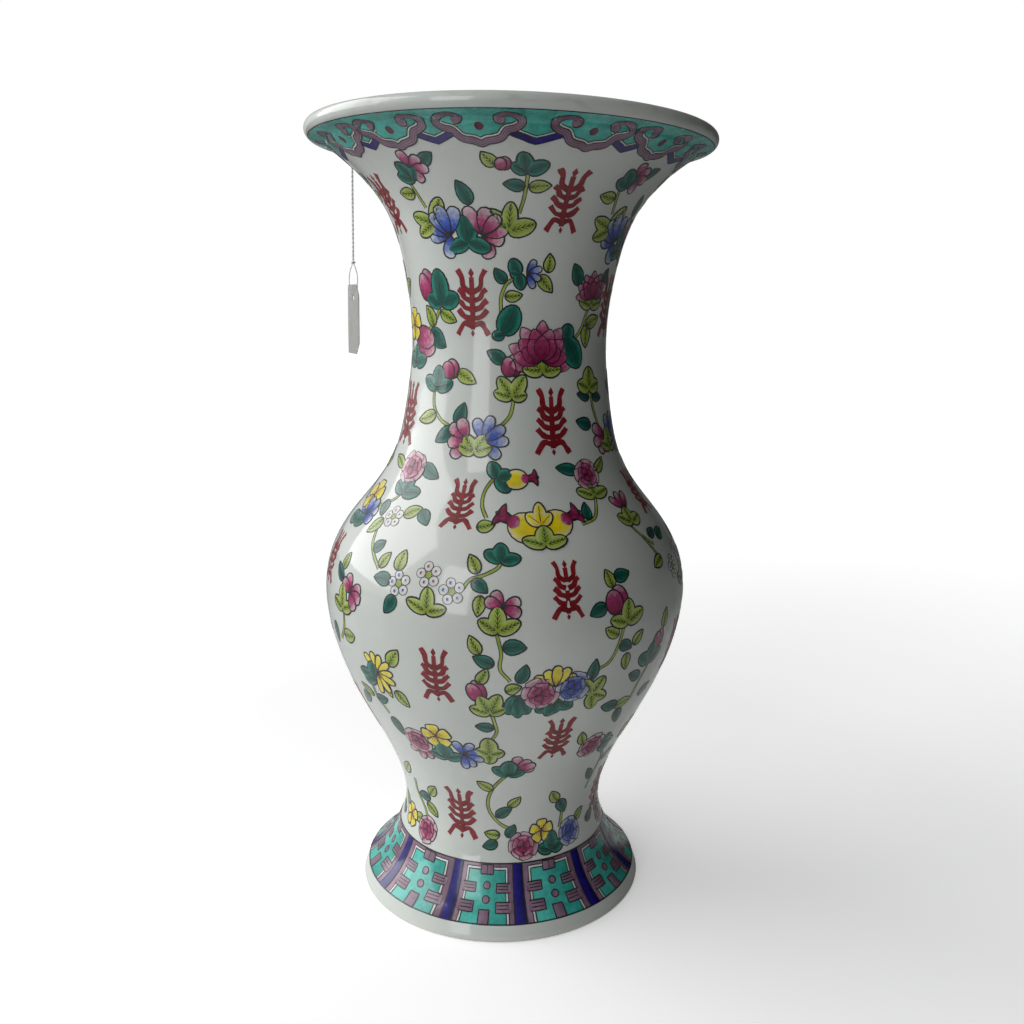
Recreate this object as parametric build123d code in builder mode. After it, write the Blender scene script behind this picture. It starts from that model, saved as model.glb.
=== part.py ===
from build123d import *
import os
from math import cos, sin, radians, tan, pi

os.makedirs("parts", exist_ok=True)

# A porcelain vase thrown in four sections that are luted together with slip, and the strung
# paper ticket that hangs from its lip. Millimetres, +Z up, origin on the axis at the foot's
# underside.

# --- vase: overall sizes -------------------------------------------------------------------
height = 460.0  # foot to the top of the lip
mouth_diameter = 238.0  # over the rolled lip
neck_diameter = 116.4
belly_diameter = 220.4
stem_diameter = 124.0
foot_diameter = 177.0
neck_height = 338.0  # height of the neck's narrowest ring, which is also a luted seam
belly_height = 192.0
stem_height = 52.0

# --- vase: walls, lip and foot ---------------------------------------------------------------
wall = 5.0
lip_bead_radius = 4.4
lip_crease_angle = 235.0  # where the wall runs into the bead, round the bead's own centre
foot_band_height = 9.0  # plain upright band under the spreading foot
foot_band_lean = 2.7  # how far the band spreads on its way down
foot_edge_radius = 1.6
foot_ring_width = 7.0  # flat unglazed ring that the vase stands on
base_height = 14.0  # underside of the base disc
base_thickness = 6.0
base_ledge = 3.0  # step in the foot that the base disc is set down on
slip_thickness = 1.2  # layer of slip between two luted sections
slip_bead = 1.5  # how far the slip squeezed out inside the vase

# --- strung ticket -------------------------------------------------------------------------
string_angle = 151.0  # where the string crosses the lip, counter-clockwise from +X
string_diameter = 1.5  # two twisted strands of the doubled string
strand_diameter = 0.8
hinge_gap = 1.8  # free length at the bend over the lip, where the string swings
turn_gap = 0.3
knot_diameter = 3.2
knot_drop = 68.0  # hinge to the knot's middle
ticket_width = 28.0
ticket_height = 45.0
ticket_thickness = 0.5
ticket_corner = 7.0  # cut upper corners
ticket_foot_radius = 2.5
ticket_hole_diameter = 4.0
hole_inset = 8.5  # hole's centre below the ticket's top edge
ticket_drop = 14.0  # knot's middle to the ticket's top edge
ticket_facing = 115.0  # the ticket's plane as it hangs, counter-clockwise from +X
eye_half_width = 2.8
tape_width = 14.0
tape_rise = 18.0  # height that the patch covers on the sloping wall
tape_thickness = 0.4
tape_adhesive = 0.1
tape_clearance = 0.9  # below the string's end, which the patch's crease takes in

mouth_radius = mouth_diameter / 2
neck_radius = neck_diameter / 2
belly_radius = belly_diameter / 2
stem_radius = stem_diameter / 2
foot_radius = foot_diameter / 2

# --- profile of the vase ---------------------------------------------------------------------
bead_centre = Vector(mouth_radius - lip_bead_radius, height - lip_bead_radius)


def on_bead(angle):
    """Point of the lip's bead at an angle round its centre, as (radius, height)."""
    return bead_centre + Vector(cos(radians(angle)), sin(radians(angle))) * lip_bead_radius


crease = on_bead(lip_crease_angle)
band_top = Vector(foot_radius - foot_band_lean, foot_band_height)


def between(low, high, steps):
    """Profile points between two (radius, height) ends, from shares of the rise and of the spread."""
    return [
        Vector(low.X + (high.X - low.X) * spread, low.Y + (high.Y - low.Y) * rise)
        for rise, spread in steps
    ]


stem = Vector(stem_radius, stem_height)
belly = Vector(belly_radius, belly_height)
neck = Vector(neck_radius, neck_height)

foot_flare = between(band_top, stem, [(0.28, 0.53), (0.55, 0.80), (0.78, 0.94)])
belly_rise = between(stem, belly, [(0.15, 0.07), (0.36, 0.34), (0.56, 0.65), (0.78, 0.90)])
shoulder_rise = between(
    belly, neck, [(0.16, 0.08), (0.29, 0.28), (0.42, 0.57), (0.55, 0.79), (0.73, 0.92)]
)
mouth_flare = between(
    neck, crease, [(0.20, 0.02), (0.42, 0.10), (0.60, 0.21), (0.74, 0.38), (0.88, 0.66)]
)

outer_points = (
    [band_top] + foot_flare + [stem] + belly_rise + [belly] + shoulder_rise + [neck]
    + mouth_flare + [crease]
)
outer_curve = Spline(*outer_points)


def at_height(curve, z):
    """Parameter of the rising curve at a height, by halving."""
    low, high = 0.0, 1.0
    for _ in range(40):
        middle = (low + high) / 2
        if (curve @ middle).Y < z:
            low = middle
        else:
            high = middle
    return (low + high) / 2


def inside_of(curve, z, depth):
    """Point at a depth under the curve, square to it, from the curve's own height z."""
    t = at_height(curve, z)
    along = curve % t
    return curve @ t + Vector(-along.Y, along.X) * depth


base_top = base_height + base_thickness
inner_heights = [point.Y for point in outer_points[2:-1]]
inner_points = [inside_of(outer_curve, z, wall) for z in inner_heights]
lip_inside = inside_of(outer_curve, crease.Y - 0.01, wall)
inner_curve = Spline(*inner_points, lip_inside)
seat = Vector((inner_curve @ 0).X, base_height)
hollow_top = Vector(seat.X - base_ledge, base_height)

ring_outside = foot_radius - foot_edge_radius
ring_inside = ring_outside - foot_ring_width

with BuildSketch(Plane.XZ) as wall_section:
    with BuildLine():
        outside = add(outer_curve)
        bead = ThreePointArc(crease, on_bead(330), on_bead(90))
        Spline(on_bead(90), lip_inside, tangents=[(-1, 0), inner_curve % 1 * -1])
        add(inner_curve)
        Polyline(inner_curve @ 0, seat, hollow_top, (ring_inside, 0), (ring_outside, 0))
        edge = JernArc((ring_outside, 0), (1, 0), foot_edge_radius, 90)
        Line(edge @ 1, band_top)
    make_face()


def section(low, high):
    """The wall's section between two heights."""
    with BuildSketch(Plane.XZ) as cut:
        add(wall_section.sketch)
        with Locations((0, (low + high) / 2)):
            Rectangle(2 * mouth_diameter, high - low, mode=Mode.INTERSECT)
    return cut.sketch


half_slip = slip_thickness / 2

# --- thrown sections -------------------------------------------------------------------------
with BuildPart() as mouth_section:
    add(section(neck_height + half_slip, height + 1))
    revolve(axis=Axis.Z)
mouth_section.part.label = "mouth_section"
export_step(mouth_section.part, "parts/mouth_section.step")

with BuildPart() as shoulder_section:
    add(section(belly_height + half_slip, neck_height - half_slip))
    revolve(axis=Axis.Z)
shoulder_section.part.label = "shoulder_section"
export_step(shoulder_section.part, "parts/shoulder_section.step")

with BuildPart() as belly_section:
    add(section(stem_height + half_slip, belly_height - half_slip))
    revolve(axis=Axis.Z)
belly_section.part.label = "belly_section"
export_step(belly_section.part, "parts/belly_section.step")

with BuildPart() as foot_section:
    add(section(-1, stem_height - half_slip))
    revolve(axis=Axis.Z)
foot_section.part.label = "foot_section"
export_step(foot_section.part, "parts/foot_section.step")

# The base is a turned disc set down on the foot's ledge.
with BuildPart() as base_disc:
    with BuildSketch(Plane.XY.offset(base_height)):
        Circle(seat.X)
    extrude(amount=base_thickness)
base_disc.part.label = "base_disc"
export_step(base_disc.part, "parts/base_disc.step")


# --- slip rings between the sections ---------------------------------------------------------
def slip_ring_face(z):
    """Section of a slip ring: flush outside, and squeezed out a little inside."""
    outside = (outer_curve @ at_height(outer_curve, z)).X
    inside = (inner_curve @ at_height(inner_curve, z)).X - slip_bead
    with BuildSketch(Plane.XZ) as ring:
        with Locations(((outside + inside) / 2, z)):
            Rectangle(outside - inside, slip_thickness)
    return ring.sketch


for seam_name, seam_height in (
    ("slip_ring_neck", neck_height),
    ("slip_ring_belly", belly_height),
    ("slip_ring_stem", stem_height),
):
    with BuildPart() as slip_ring:
        add(slip_ring_face(seam_height))
        revolve(axis=Axis.Z)
    slip_ring.part.label = seam_name
    export_step(slip_ring.part, f"parts/{seam_name}.step")

# --- string plane: X runs outwards from the vase's axis, Y runs up ------------------------------
def upright_plane(angle):
    """Upright plane through the axis whose X runs outwards at an angle round the vase."""
    out = Vector(cos(radians(angle)), sin(radians(angle)), 0)
    return Plane(origin=(0, 0, 0), x_dir=out, z_dir=(out.Y, -out.X, 0))


string_plane = upright_plane(string_angle)

# The string's route from the tape to the hinge, as offsets from the bead's centre.
string_route = [
    (-40.3, -28.9),
    (-35.5, -22.9),
    (-28.0, -15.2),
    (-18.5, -7.3),
    (-8.4, 0.7),
    (-1.65, 5.8),
    (2.7, 5.4),
    (5.6, 2.2),
]
hang_offset = string_route[-1][0]
hinge_offset = -1.2  # the hinge is a little under the bead's centre
hinge = bead_centre + Vector(hang_offset, hinge_offset)

# --- tape patch inside the mouth --------------------------------------------------------------
tape_end = bead_centre + Vector(*string_route[0])


def lining(z):
    """The tape's back and front at a height on the inside wall."""
    t = at_height(inner_curve, z)
    along = inner_curve % t
    inwards = Vector(-along.Y, along.X)
    stuck = inner_curve @ t + inwards * tape_adhesive
    return stuck, stuck + inwards * tape_thickness


tape_top = tape_end.Y - tape_clearance
tape_low = tape_top - tape_rise
tape_heights = [tape_low, (tape_low + tape_top) / 2, tape_top]
tape_back, tape_front = zip(*(lining(z) for z in tape_heights))
tape_arc = tape_width / tape_back[1].X * 180 / pi

with BuildPart() as tape_patch:
    with BuildSketch(upright_plane(string_angle - tape_arc / 2)):
        with BuildLine():
            Spline(*tape_back)
            Spline(*tape_front)
            Line(tape_back[0], tape_front[0])
            Line(tape_back[-1], tape_front[-1])
        make_face()
    revolve(axis=Axis.Z, revolution_arc=tape_arc)
tape_patch.part.label = "tape_patch"
export_step(tape_patch.part, "parts/tape_patch.step")


# --- string ----------------------------------------------------------------------------------
def bend_radii(points):
    """Fillet radius at each inner point: 0.45 of the shorter run over the half turn's tangent."""
    radii = []
    for before, here, after in zip(points, points[1:], points[2:]):
        run_in, run_out = here - before, after - here
        half_turn = radians(run_in.get_angle(run_out)) / 2
        radii.append(0.45 * min(run_in.length, run_out.length) / tan(half_turn))
    return radii


over_lip = [bead_centre + Vector(*offset) for offset in string_route]
over_lip_radii = bend_radii(over_lip + [hinge - Vector(0, knot_drop)])
over_lip.append(hinge + Vector(0, hinge_gap / 2))
print("string over the lip, radii:", [round(r, 1) for r in over_lip_radii])

with BuildPart() as string_over_lip:
    with BuildLine() as over_lip_path:
        route = [string_plane.from_local_coords(point) for point in over_lip]
        FilletPolyline(*route, radius=over_lip_radii)
    with BuildSketch(over_lip_path.line ^ 0):
        Circle(string_diameter / 2)
    sweep()
string_over_lip.part.label = "string_over_lip"
export_step(string_over_lip.part, "parts/string_over_lip.step")

knot = hinge - Vector(0, knot_drop)
drop_top = hinge.Y - hinge_gap / 2
drop_foot = knot.Y + knot_diameter / 2 + turn_gap
hang_x = hinge.X * cos(radians(string_angle))
hang_y = hinge.X * sin(radians(string_angle))

with BuildPart() as string_drop:
    with BuildSketch(Plane.XY.offset(drop_foot)):
        with Locations((hang_x, hang_y)):
            Circle(string_diameter / 2)
    extrude(amount=drop_top - drop_foot)
string_drop.part.label = "string_drop"
export_step(string_drop.part, "parts/string_drop.step")

# --- knot, eye and ticket --------------------------------------------------------------------
ticket_along = Vector(cos(radians(ticket_facing)), sin(radians(ticket_facing)), 0)
ticket_square = Vector(ticket_along.Y, -ticket_along.X, 0)
knot_centre = Vector(hang_x, hang_y, knot.Y)
ticket_plane = Plane(origin=knot_centre, x_dir=ticket_along, z_dir=ticket_square)
eye_plane = Plane(origin=knot_centre, x_dir=ticket_square, z_dir=ticket_along * -1)

hole_height = -(ticket_drop + hole_inset)
strand_low = hole_height + ticket_hole_diameter / 2 - strand_diameter / 2 - 0.05
eye_side = [
    Vector(0.6 * strand_diameter, -knot_diameter / 4),
    Vector(eye_half_width, -0.45 * ticket_drop),
    Vector(0.97 * eye_half_width, -ticket_drop),
    Vector(0.57 * eye_half_width, strand_low),
]
eye_points = eye_side + [Vector(-point.X, point.Y) for point in reversed(eye_side)]
eye_radii = bend_radii(eye_points)
print("eye, radii:", [round(r, 1) for r in eye_radii])

with BuildPart() as string_eye:
    with BuildLine() as eye_path:
        route = [eye_plane.from_local_coords(point) for point in eye_points]
        FilletPolyline(*route, radius=eye_radii)
    with BuildSketch(eye_path.line ^ 0):
        Circle(strand_diameter / 2)
    sweep()
    with Locations(knot_centre):
        Sphere(knot_diameter / 2, rotation=(0, 0, ticket_facing))
string_eye.part.label = "string_eye"
export_step(string_eye.part, "parts/string_eye.step")

with BuildPart() as ticket_card:
    with BuildSketch(ticket_plane) as card:
        with Locations((0, -ticket_drop - ticket_height / 2)):
            Rectangle(ticket_width, ticket_height)
        upper = card.vertices().sort_by(Axis.Z)[-2:]
        chamfer(upper, ticket_corner)
        lower = card.vertices().sort_by(Axis.Z)[:2]
        fillet(lower, ticket_foot_radius)
        with Locations((0, hole_height)):
            Circle(ticket_hole_diameter / 2, mode=Mode.SUBTRACT)
    extrude(amount=ticket_thickness / 2, both=True)
ticket_card.part.label = "ticket_card"
export_step(ticket_card.part, "parts/ticket_card.step")

print("hinge", round(hang_x, 2), round(hang_y, 2), round(hinge.Y, 2), "knot", round(knot.Y, 2))
over_lip_length = over_lip_path.wire().length
over_lip_volume = over_lip_length * pi * (string_diameter / 2) ** 2
print("string over the lip, length", round(over_lip_length, 1))
print("tube volume", round(string_over_lip.part.volume, 2), "of", round(over_lip_volume, 2))
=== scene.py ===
import math

import bpy
import numpy as np
from mathutils import Matrix, Vector


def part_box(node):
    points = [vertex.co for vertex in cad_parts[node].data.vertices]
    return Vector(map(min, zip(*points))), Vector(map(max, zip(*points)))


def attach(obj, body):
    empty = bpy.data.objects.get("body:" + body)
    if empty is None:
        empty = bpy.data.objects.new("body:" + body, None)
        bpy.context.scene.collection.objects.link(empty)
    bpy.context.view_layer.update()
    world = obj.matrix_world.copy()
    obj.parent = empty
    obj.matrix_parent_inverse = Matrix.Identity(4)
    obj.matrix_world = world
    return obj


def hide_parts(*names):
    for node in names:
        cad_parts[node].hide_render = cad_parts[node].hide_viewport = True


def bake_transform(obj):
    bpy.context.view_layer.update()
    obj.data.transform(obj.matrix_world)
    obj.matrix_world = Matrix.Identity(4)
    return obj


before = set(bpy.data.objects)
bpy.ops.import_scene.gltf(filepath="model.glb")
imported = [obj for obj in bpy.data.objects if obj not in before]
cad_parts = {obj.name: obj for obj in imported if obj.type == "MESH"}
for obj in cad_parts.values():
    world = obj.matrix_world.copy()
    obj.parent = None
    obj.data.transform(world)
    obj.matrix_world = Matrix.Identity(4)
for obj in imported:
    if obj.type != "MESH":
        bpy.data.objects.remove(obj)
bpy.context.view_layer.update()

mm = 0.001
chance = np.random.default_rng(21)
print("frame loaded")

# camera
camera = {
    "place": (0.0241, -0.6133, 0.35815),
    "tilt": 80.225,  # 90 looks level
    "roll": 1.292,
    "lens": 35.41,
    "shift": (-0.0335, -0.0269),
}
cameraData = bpy.data.cameras.new("camera")
cameraData.sensor_width = 36.0
cameraData.lens = camera["lens"]
cameraData.shift_x, cameraData.shift_y = camera["shift"]
cameraData.clip_start = 0.01
cameraObject = bpy.data.objects.new("camera", cameraData)
cameraObject.matrix_world = (
    Matrix.Translation(camera["place"])
    @ Matrix.Rotation(math.radians(camera["tilt"]), 4, "X")
    @ Matrix.Rotation(math.radians(camera["roll"]), 4, "Z")
)
bpy.context.scene.collection.objects.link(cameraObject)
bpy.context.scene.camera = cameraObject


# small helpers for meshes, curves and trees of nodes
def addObject(name, data):
    made = bpy.data.objects.new(name, data)
    bpy.context.scene.collection.objects.link(made)
    return made


def meshFrom(name, points, faces):
    made = bpy.data.meshes.new(name)
    made.from_pydata([tuple(p) for p in points], [], [tuple(f) for f in faces])
    made.validate()
    made.update()
    return made


def nurbsPath(name, points):
    # the smooth line that a list of control points gives, as an array of points
    curve = bpy.data.curves.new(name, "CURVE")
    curve.dimensions = "3D"
    curve.resolution_u = 24
    spline = curve.splines.new("NURBS")
    spline.points.add(len(points) - 1)
    for controlPoint, place in zip(spline.points, points):
        controlPoint.co = (*place, 1)
    spline.order_u = 3
    spline.use_endpoint_u = True
    holder = bpy.data.objects.new(name, curve)
    line = bpy.data.meshes.new_from_object(holder)
    found = np.array([v.co for v in line.vertices])
    bpy.data.objects.remove(holder)
    return found


def lengthAlong(path):
    # length from the start of a line to each of its points
    return np.concatenate([[0], np.cumsum(np.linalg.norm(np.diff(path, axis=0), axis=1))])


def evenly(path, step):
    # the same line with points a step apart
    run = lengthAlong(path)
    stations = np.linspace(0, run[-1], max(3, int(run[-1] / step) + 1))
    return np.stack([np.interp(stations, run, path[:, i]) for i in range(path.shape[1])], 1)


def frames(path, side):
    # at each point of a line, two directions square to it that don't twist along it
    along = np.gradient(path, axis=0)
    along /= np.linalg.norm(along, axis=1)[:, None]
    first = np.zeros_like(path)
    held = np.array(side, float)
    for i, direction in enumerate(along):
        held = held - direction * (held @ direction)
        held /= np.linalg.norm(held)
        first[i] = held
    return first, np.cross(along, first)


def tube(path, radius, side, sides=8, offset=0.0, pitch=1.0, phase=0.0):
    # closed round tube along a line, or one strand of a twist when it has an offset
    first, second = frames(path, side)
    turn = 2 * math.pi * lengthAlong(path) / pitch + phase
    centre = path + offset * (np.cos(turn)[:, None] * first + np.sin(turn)[:, None] * second)
    first, second = frames(centre, side)
    angles = 2 * math.pi * np.arange(sides) / sides
    ring = (
        np.cos(angles)[None, :, None] * first[:, None]
        + np.sin(angles)[None, :, None] * second[:, None]
    )
    points = (centre[:, None] + radius * ring).reshape(-1, 3)
    corner = np.arange(len(path) * sides).reshape(-1, sides).tolist()
    faces = [
        (here[j - 1], here[j], following[j], following[j - 1])
        for here, following in zip(corner, corner[1:])
        for j in range(sides)
    ]
    return points, faces + [corner[0][::-1], corner[-1]]


def padFaces(rows, columns):
    # faces of a closed pad: a grid of top points, the same grid below it, and the edge between
    grid = np.arange(rows * columns).reshape(rows, columns).tolist()
    size = rows * columns
    faces = []
    for here, following in zip(grid, grid[1:]):
        for j in range(columns - 1):
            top = (here[j], here[j + 1], following[j + 1], following[j])
            faces.append(top)
            faces.append(tuple(size + i for i in (top[0], top[3], top[2], top[1])))
    rim = grid[0] + [row[-1] for row in grid[1:]] + grid[-1][-2::-1] + [row[0] for row in grid[-2:0:-1]]
    faces.extend((b, a, size + a, size + b) for a, b in zip(rim, rim[1:] + rim[:1]))
    return faces


def ribbonFaces(count, closed):
    # faces of a ribbon with four points at each place along it
    faces = []
    for i in range(count if closed else count - 1):
        a, b = 4 * i, 4 * ((i + 1) % count)
        faces.extend((a + j, b + j, b + (j + 1) % 4, a + (j + 1) % 4) for j in range(4))
    if not closed:
        faces.append((0, 1, 2, 3))
        faces.append((4 * count - 1, 4 * count - 2, 4 * count - 3, 4 * count - 4))
    return faces


def joined(name, shapes):
    points, faces = [], []
    for shapePoints, shapeFaces in shapes:
        start = len(points)
        points.extend(shapePoints)
        faces.extend(tuple(start + i for i in f) for f in shapeFaces)
    made = meshFrom(name, points, faces)
    made.shade_smooth()
    return made


def addNode(tree, kind, values=(), **settings):
    made = tree.nodes.new(kind)
    for key, value in settings.items():
        setattr(made, key, value)
    for key, value in dict(values).items():
        if isinstance(value, bpy.types.NodeSocket):
            tree.links.new(value, made.inputs[key])
        else:
            made.inputs[key].default_value = value
    return made


def mathNode(tree, operation, *values):
    return addNode(tree, "ShaderNodeMath", dict(enumerate(values)), operation=operation).outputs[0]


def times(tree, first, second):
    return mathNode(tree, "MULTIPLY", first, second)


def vectorParts(tree, vector):
    return addNode(tree, "ShaderNodeSeparateXYZ", {0: vector}).outputs


def vectorOf(tree, *parts):
    return addNode(tree, "ShaderNodeCombineXYZ", dict(enumerate(parts))).outputs[0]


def objectPlace(tree):
    return tree.nodes.new("ShaderNodeTexCoord").outputs["Object"]


def newTree(name, sockets):
    tree = bpy.data.node_groups.new(name, "GeometryNodeTree")
    tree.interface.new_socket("Geometry", in_out="INPUT", socket_type="NodeSocketGeometry")
    for label, kind in sockets:
        tree.interface.new_socket(label, in_out="INPUT", socket_type="NodeSocket" + kind)
    tree.interface.new_socket("Geometry", in_out="OUTPUT", socket_type="NodeSocketGeometry")
    return tree


def finishTree(tree, geometry, material):
    coated = addNode(tree, "GeometryNodeSetMaterial", {"Geometry": geometry, "Material": material})
    tree.links.new(coated.outputs[0], tree.nodes.new("NodeGroupOutput").inputs[0])


def shaped(tree, holder, values):
    # the plain mesh that a tree makes of an object
    modifier = holder.modifiers.new(tree.name, "NODES")
    modifier.node_group = tree
    for item in tree.interface.items_tree:
        if item.in_out == "INPUT" and item.name in values:
            modifier[item.identifier] = values[item.name]
    bpy.context.view_layer.update()
    graph = bpy.context.evaluated_depsgraph_get()
    made = bpy.data.meshes.new_from_object(holder.evaluated_get(graph))
    holder.modifiers.clear()
    return made


# string: exit under the tape, over the lip and down to the knot
string = {
    "angle": 151.0,  # round the vase, counter-clockwise from +X
    "beadRadius": 4.4,
    "route": [  # outwards and up from the bead's centre
        (-40.3, -28.9),
        (-35.5, -22.9),
        (-28.0, -15.2),
        (-18.5, -7.3),
        (-8.4, 0.7),
        (-1.65, 5.8),
        (2.7, 5.4),
        (5.6, 2.2),
    ],
    "hangStart": -7.0,
    "knot": -69.2,  # the knot's middle, down from the bead's centre
    "knotHalf": 1.4,
    "length": 130.0,
    "diameter": 1.5,
    "pitch": 5.5,
}
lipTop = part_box("mouth_section")[1].z
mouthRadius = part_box("mouth_section")[1].x
beadRadius = string["beadRadius"] * mm
stringAngle = math.radians(string["angle"])
outwards = Vector((math.cos(stringAngle), math.sin(stringAngle), 0))


def stringPoint(offset):
    # a point of the string's upright plane, from its offset to the bead's centre
    reach = mouthRadius - beadRadius + offset[0] * mm
    return outwards * reach + Vector((0, 0, lipTop - beadRadius + offset[1] * mm))


hang = string["route"][-1][0]
stringLow = (hang, string["knot"] + string["knotHalf"])
stringControl = string["route"] + [(hang, string["hangStart"]), stringLow]
stringPath = evenly(nurbsPath("stringRoute", [stringPoint(p) for p in stringControl]), 0.45 * mm)
strandRadius = 0.31 * string["diameter"] * mm
strands = [
    tube(
        stringPath,
        strandRadius,
        (outwards.y, -outwards.x, 0),
        offset=0.5 * string["diameter"] * mm - strandRadius,
        pitch=string["pitch"] * mm,
        phase=phase,
    )
    for phase in (0, math.pi)
]
ticketString = addObject("ticketString", joined("ticketString", strands))
print("string", len(stringPath), "points")


# wall of the vase, read from the frame
sections = ("foot_section", "belly_section", "shoulder_section", "mouth_section")


def wallSamples(side, low, high):
    # (height, radius) of the wall's outer side (1) or inner side (-1) between two heights
    found = []
    for name in sections:
        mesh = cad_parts[name].data
        mesh.calc_loop_triangles()
        corners = np.zeros(len(mesh.loop_triangles) * 3, int)
        mesh.loop_triangles.foreach_get("vertices", corners)
        places = np.zeros(len(mesh.vertices) * 3)
        mesh.vertices.foreach_get("co", places)
        triangles = places.reshape(-1, 3)[corners.reshape(-1, 3)]
        facing = np.cross(triangles[:, 1] - triangles[:, 0], triangles[:, 2] - triangles[:, 0])
        middle = triangles.mean(1) * (1, 1, 0)
        outward = (facing * middle).sum(1) / np.linalg.norm(facing, axis=1) / np.linalg.norm(middle, axis=1)
        used = triangles[side * outward > 0.2].reshape(-1, 3)  # the ledges and ends face up or down
        found.append(np.stack([used[:, 2], np.hypot(used[:, 0], used[:, 1])], 1))
    rows = np.concatenate(found)
    rows = rows[(rows[:, 0] > low) & (rows[:, 0] < high)]
    rows = rows[np.argsort(rows[:, 0])]
    kept = [rows[0]]
    for row in rows[1:]:
        if row[0] - kept[-1][0] > 0.35 * mm:
            kept.append(row)
    return np.array(kept)


def smoothRadius(rows):
    # natural cubic through the samples, as a function of height
    z, r = rows.T
    gap = np.diff(z)
    slope = np.diff(r) / gap
    count = len(z)
    system = np.eye(count)
    right = np.zeros(count)
    for i in range(1, count - 1):
        system[i, i - 1 : i + 2] = gap[i - 1], 2 * (gap[i - 1] + gap[i]), gap[i]
        right[i] = 6 * (slope[i] - slope[i - 1])
    bend = np.linalg.solve(system, right)

    def radius(height):
        height = np.clip(height, z[0], z[-1])
        i = np.clip(np.searchsorted(z, height) - 1, 0, count - 2)
        a = (z[i + 1] - height) / gap[i]
        b = 1 - a
        curve = ((a**3 - a) * bend[i] + (b**3 - b) * bend[i + 1]) * gap[i] ** 2 / 6
        return a * r[i] + b * r[i + 1] + curve

    return radius


wall = {
    "seams": (52 * mm, 192 * mm, 338 * mm),  # heights where the sections are luted
    "halfSlip": 0.6 * mm,
    "skin": 0.35 * mm,  # glaze that closes over the slip
    "crease": 235.0,  # where the wall runs into the lip's bead
    "bandTop": 9.0 * mm,
    "footEdge": 1.6 * mm,
    "footRing": 7.0 * mm,
    "ledge": 3.0 * mm,
    "step": 1.15 * mm,  # between rows, along the wall
    "sides": 224,
}
beadCentre = np.array([mouthRadius - beadRadius, lipTop - beadRadius])


def onBead(degrees):
    angle = np.radians(degrees)
    return beadCentre + beadRadius * np.stack([np.cos(angle), np.sin(angle)], -1)


creasePoint = onBead(wall["crease"])
baseLow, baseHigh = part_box("base_disc")
outerRows = wallSamples(1, wall["bandTop"] - 0.1 * mm, creasePoint[1] + 0.01 * mm)
innerRows = wallSamples(-1, baseHigh.z + 1 * mm, lipTop - 8 * mm)
outerRadius = smoothRadius(outerRows)
innerRadius = smoothRadius(innerRows)
print("wall read:", len(outerRows), "outer and", len(innerRows), "inner samples")


def wallLine(radius, low, high):
    heights = np.linspace(low, high, 400)
    run = lengthAlong(np.stack([radius(heights), heights], 1))
    heights = np.interp(np.linspace(0, run[-1], max(4, int(run[-1] / wall["step"]))), run, heights)
    return np.stack([radius(heights), heights], 1)


def seamFace(height, above):
    # from the outside in: the glaze's skin, then the step that the slip lies against
    level = height + above * wall["halfSlip"]
    skin = outerRadius(height) - wall["skin"]
    return np.array([(skin, height), (skin, level), (innerRadius(level), level)])


def lipLine():
    # round the bead and over into the mouth
    bead = onBead(np.linspace(wall["crease"], 450, 22))
    end = np.array([innerRadius(innerRows[-1, 0]), innerRows[-1, 0]])
    below = np.array([innerRadius(end[1] - 2 * mm), end[1] - 2 * mm])
    start, startWay = bead[-1], np.array([-1.0, 0.0])
    endWay = (below - end) / np.linalg.norm(below - end)
    reach = np.linalg.norm(end - start)
    t = np.linspace(0, 1, 9)[1:-1, None]
    over = (
        (2 * t**3 - 3 * t**2 + 1) * start
        + (t**3 - 2 * t**2 + t) * startWay * reach
        + (3 * t**2 - 2 * t**3) * end
        + (t**3 - t**2) * endWay * reach
    )
    return np.concatenate([bead[1:], over])


def footLine():
    # from under the base, over the foot ring and up its plain band
    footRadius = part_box("foot_section")[1].x
    ringOut = footRadius - wall["footEdge"]
    ringIn = ringOut - wall["footRing"]
    angle = np.radians(np.linspace(-90, 0, 6))
    edge = np.stack([ringOut + wall["footEdge"] * np.cos(angle), wall["footEdge"] * (1 + np.sin(angle))], 1)
    hollow = np.linspace((baseHigh.x - wall["ledge"], baseLow.z), (ringIn, 0), 8)
    ring = np.linspace((ringIn, 0), (ringOut, 0), 5)
    band = np.linspace(edge[-1], (outerRadius(wall["bandTop"]), wall["bandTop"]), 5)
    return np.concatenate([hollow[:-1], ring[:-1], edge[:-1], band[:-1]])


low, middle, high = wall["seams"]
profiles = {
    "footSection": np.concatenate([
        footLine(),
        wallLine(outerRadius, wall["bandTop"], low),
        seamFace(low, -1),
        wallLine(innerRadius, low - wall["halfSlip"], innerRows[0, 0])[1:],
        [(baseHigh.x, innerRows[0, 0] - 1 * mm), (baseHigh.x, baseLow.z)],
    ]),
    "bellySection": np.concatenate([
        wallLine(outerRadius, low, middle),
        seamFace(middle, -1),
        wallLine(innerRadius, middle - wall["halfSlip"], low + wall["halfSlip"])[1:],
        seamFace(low, 1)[1::-1],
    ]),
    "shoulderSection": np.concatenate([
        wallLine(outerRadius, middle, high),
        seamFace(high, -1),
        wallLine(innerRadius, high - wall["halfSlip"], middle + wall["halfSlip"])[1:],
        seamFace(middle, 1)[1::-1],
    ]),
    "mouthSection": np.concatenate([
        wallLine(outerRadius, high, creasePoint[1]),
        lipLine(),
        wallLine(innerRadius, innerRows[-1, 0], high + wall["halfSlip"]),
        seamFace(high, 1)[1::-1],
    ]),
}

# a closed section turned about the axis; points inside a given radius may waver, as slip does
turnedTree = newTree("turned", [
    ("Profile", "Object"),
    ("Points", "Int"),
    ("Sides", "Int"),
    ("Waver Inside", "Float"),
    ("Waver", "Float"),
    ("Seed", "Float"),
    ("Material", "Material"),
])


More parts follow.
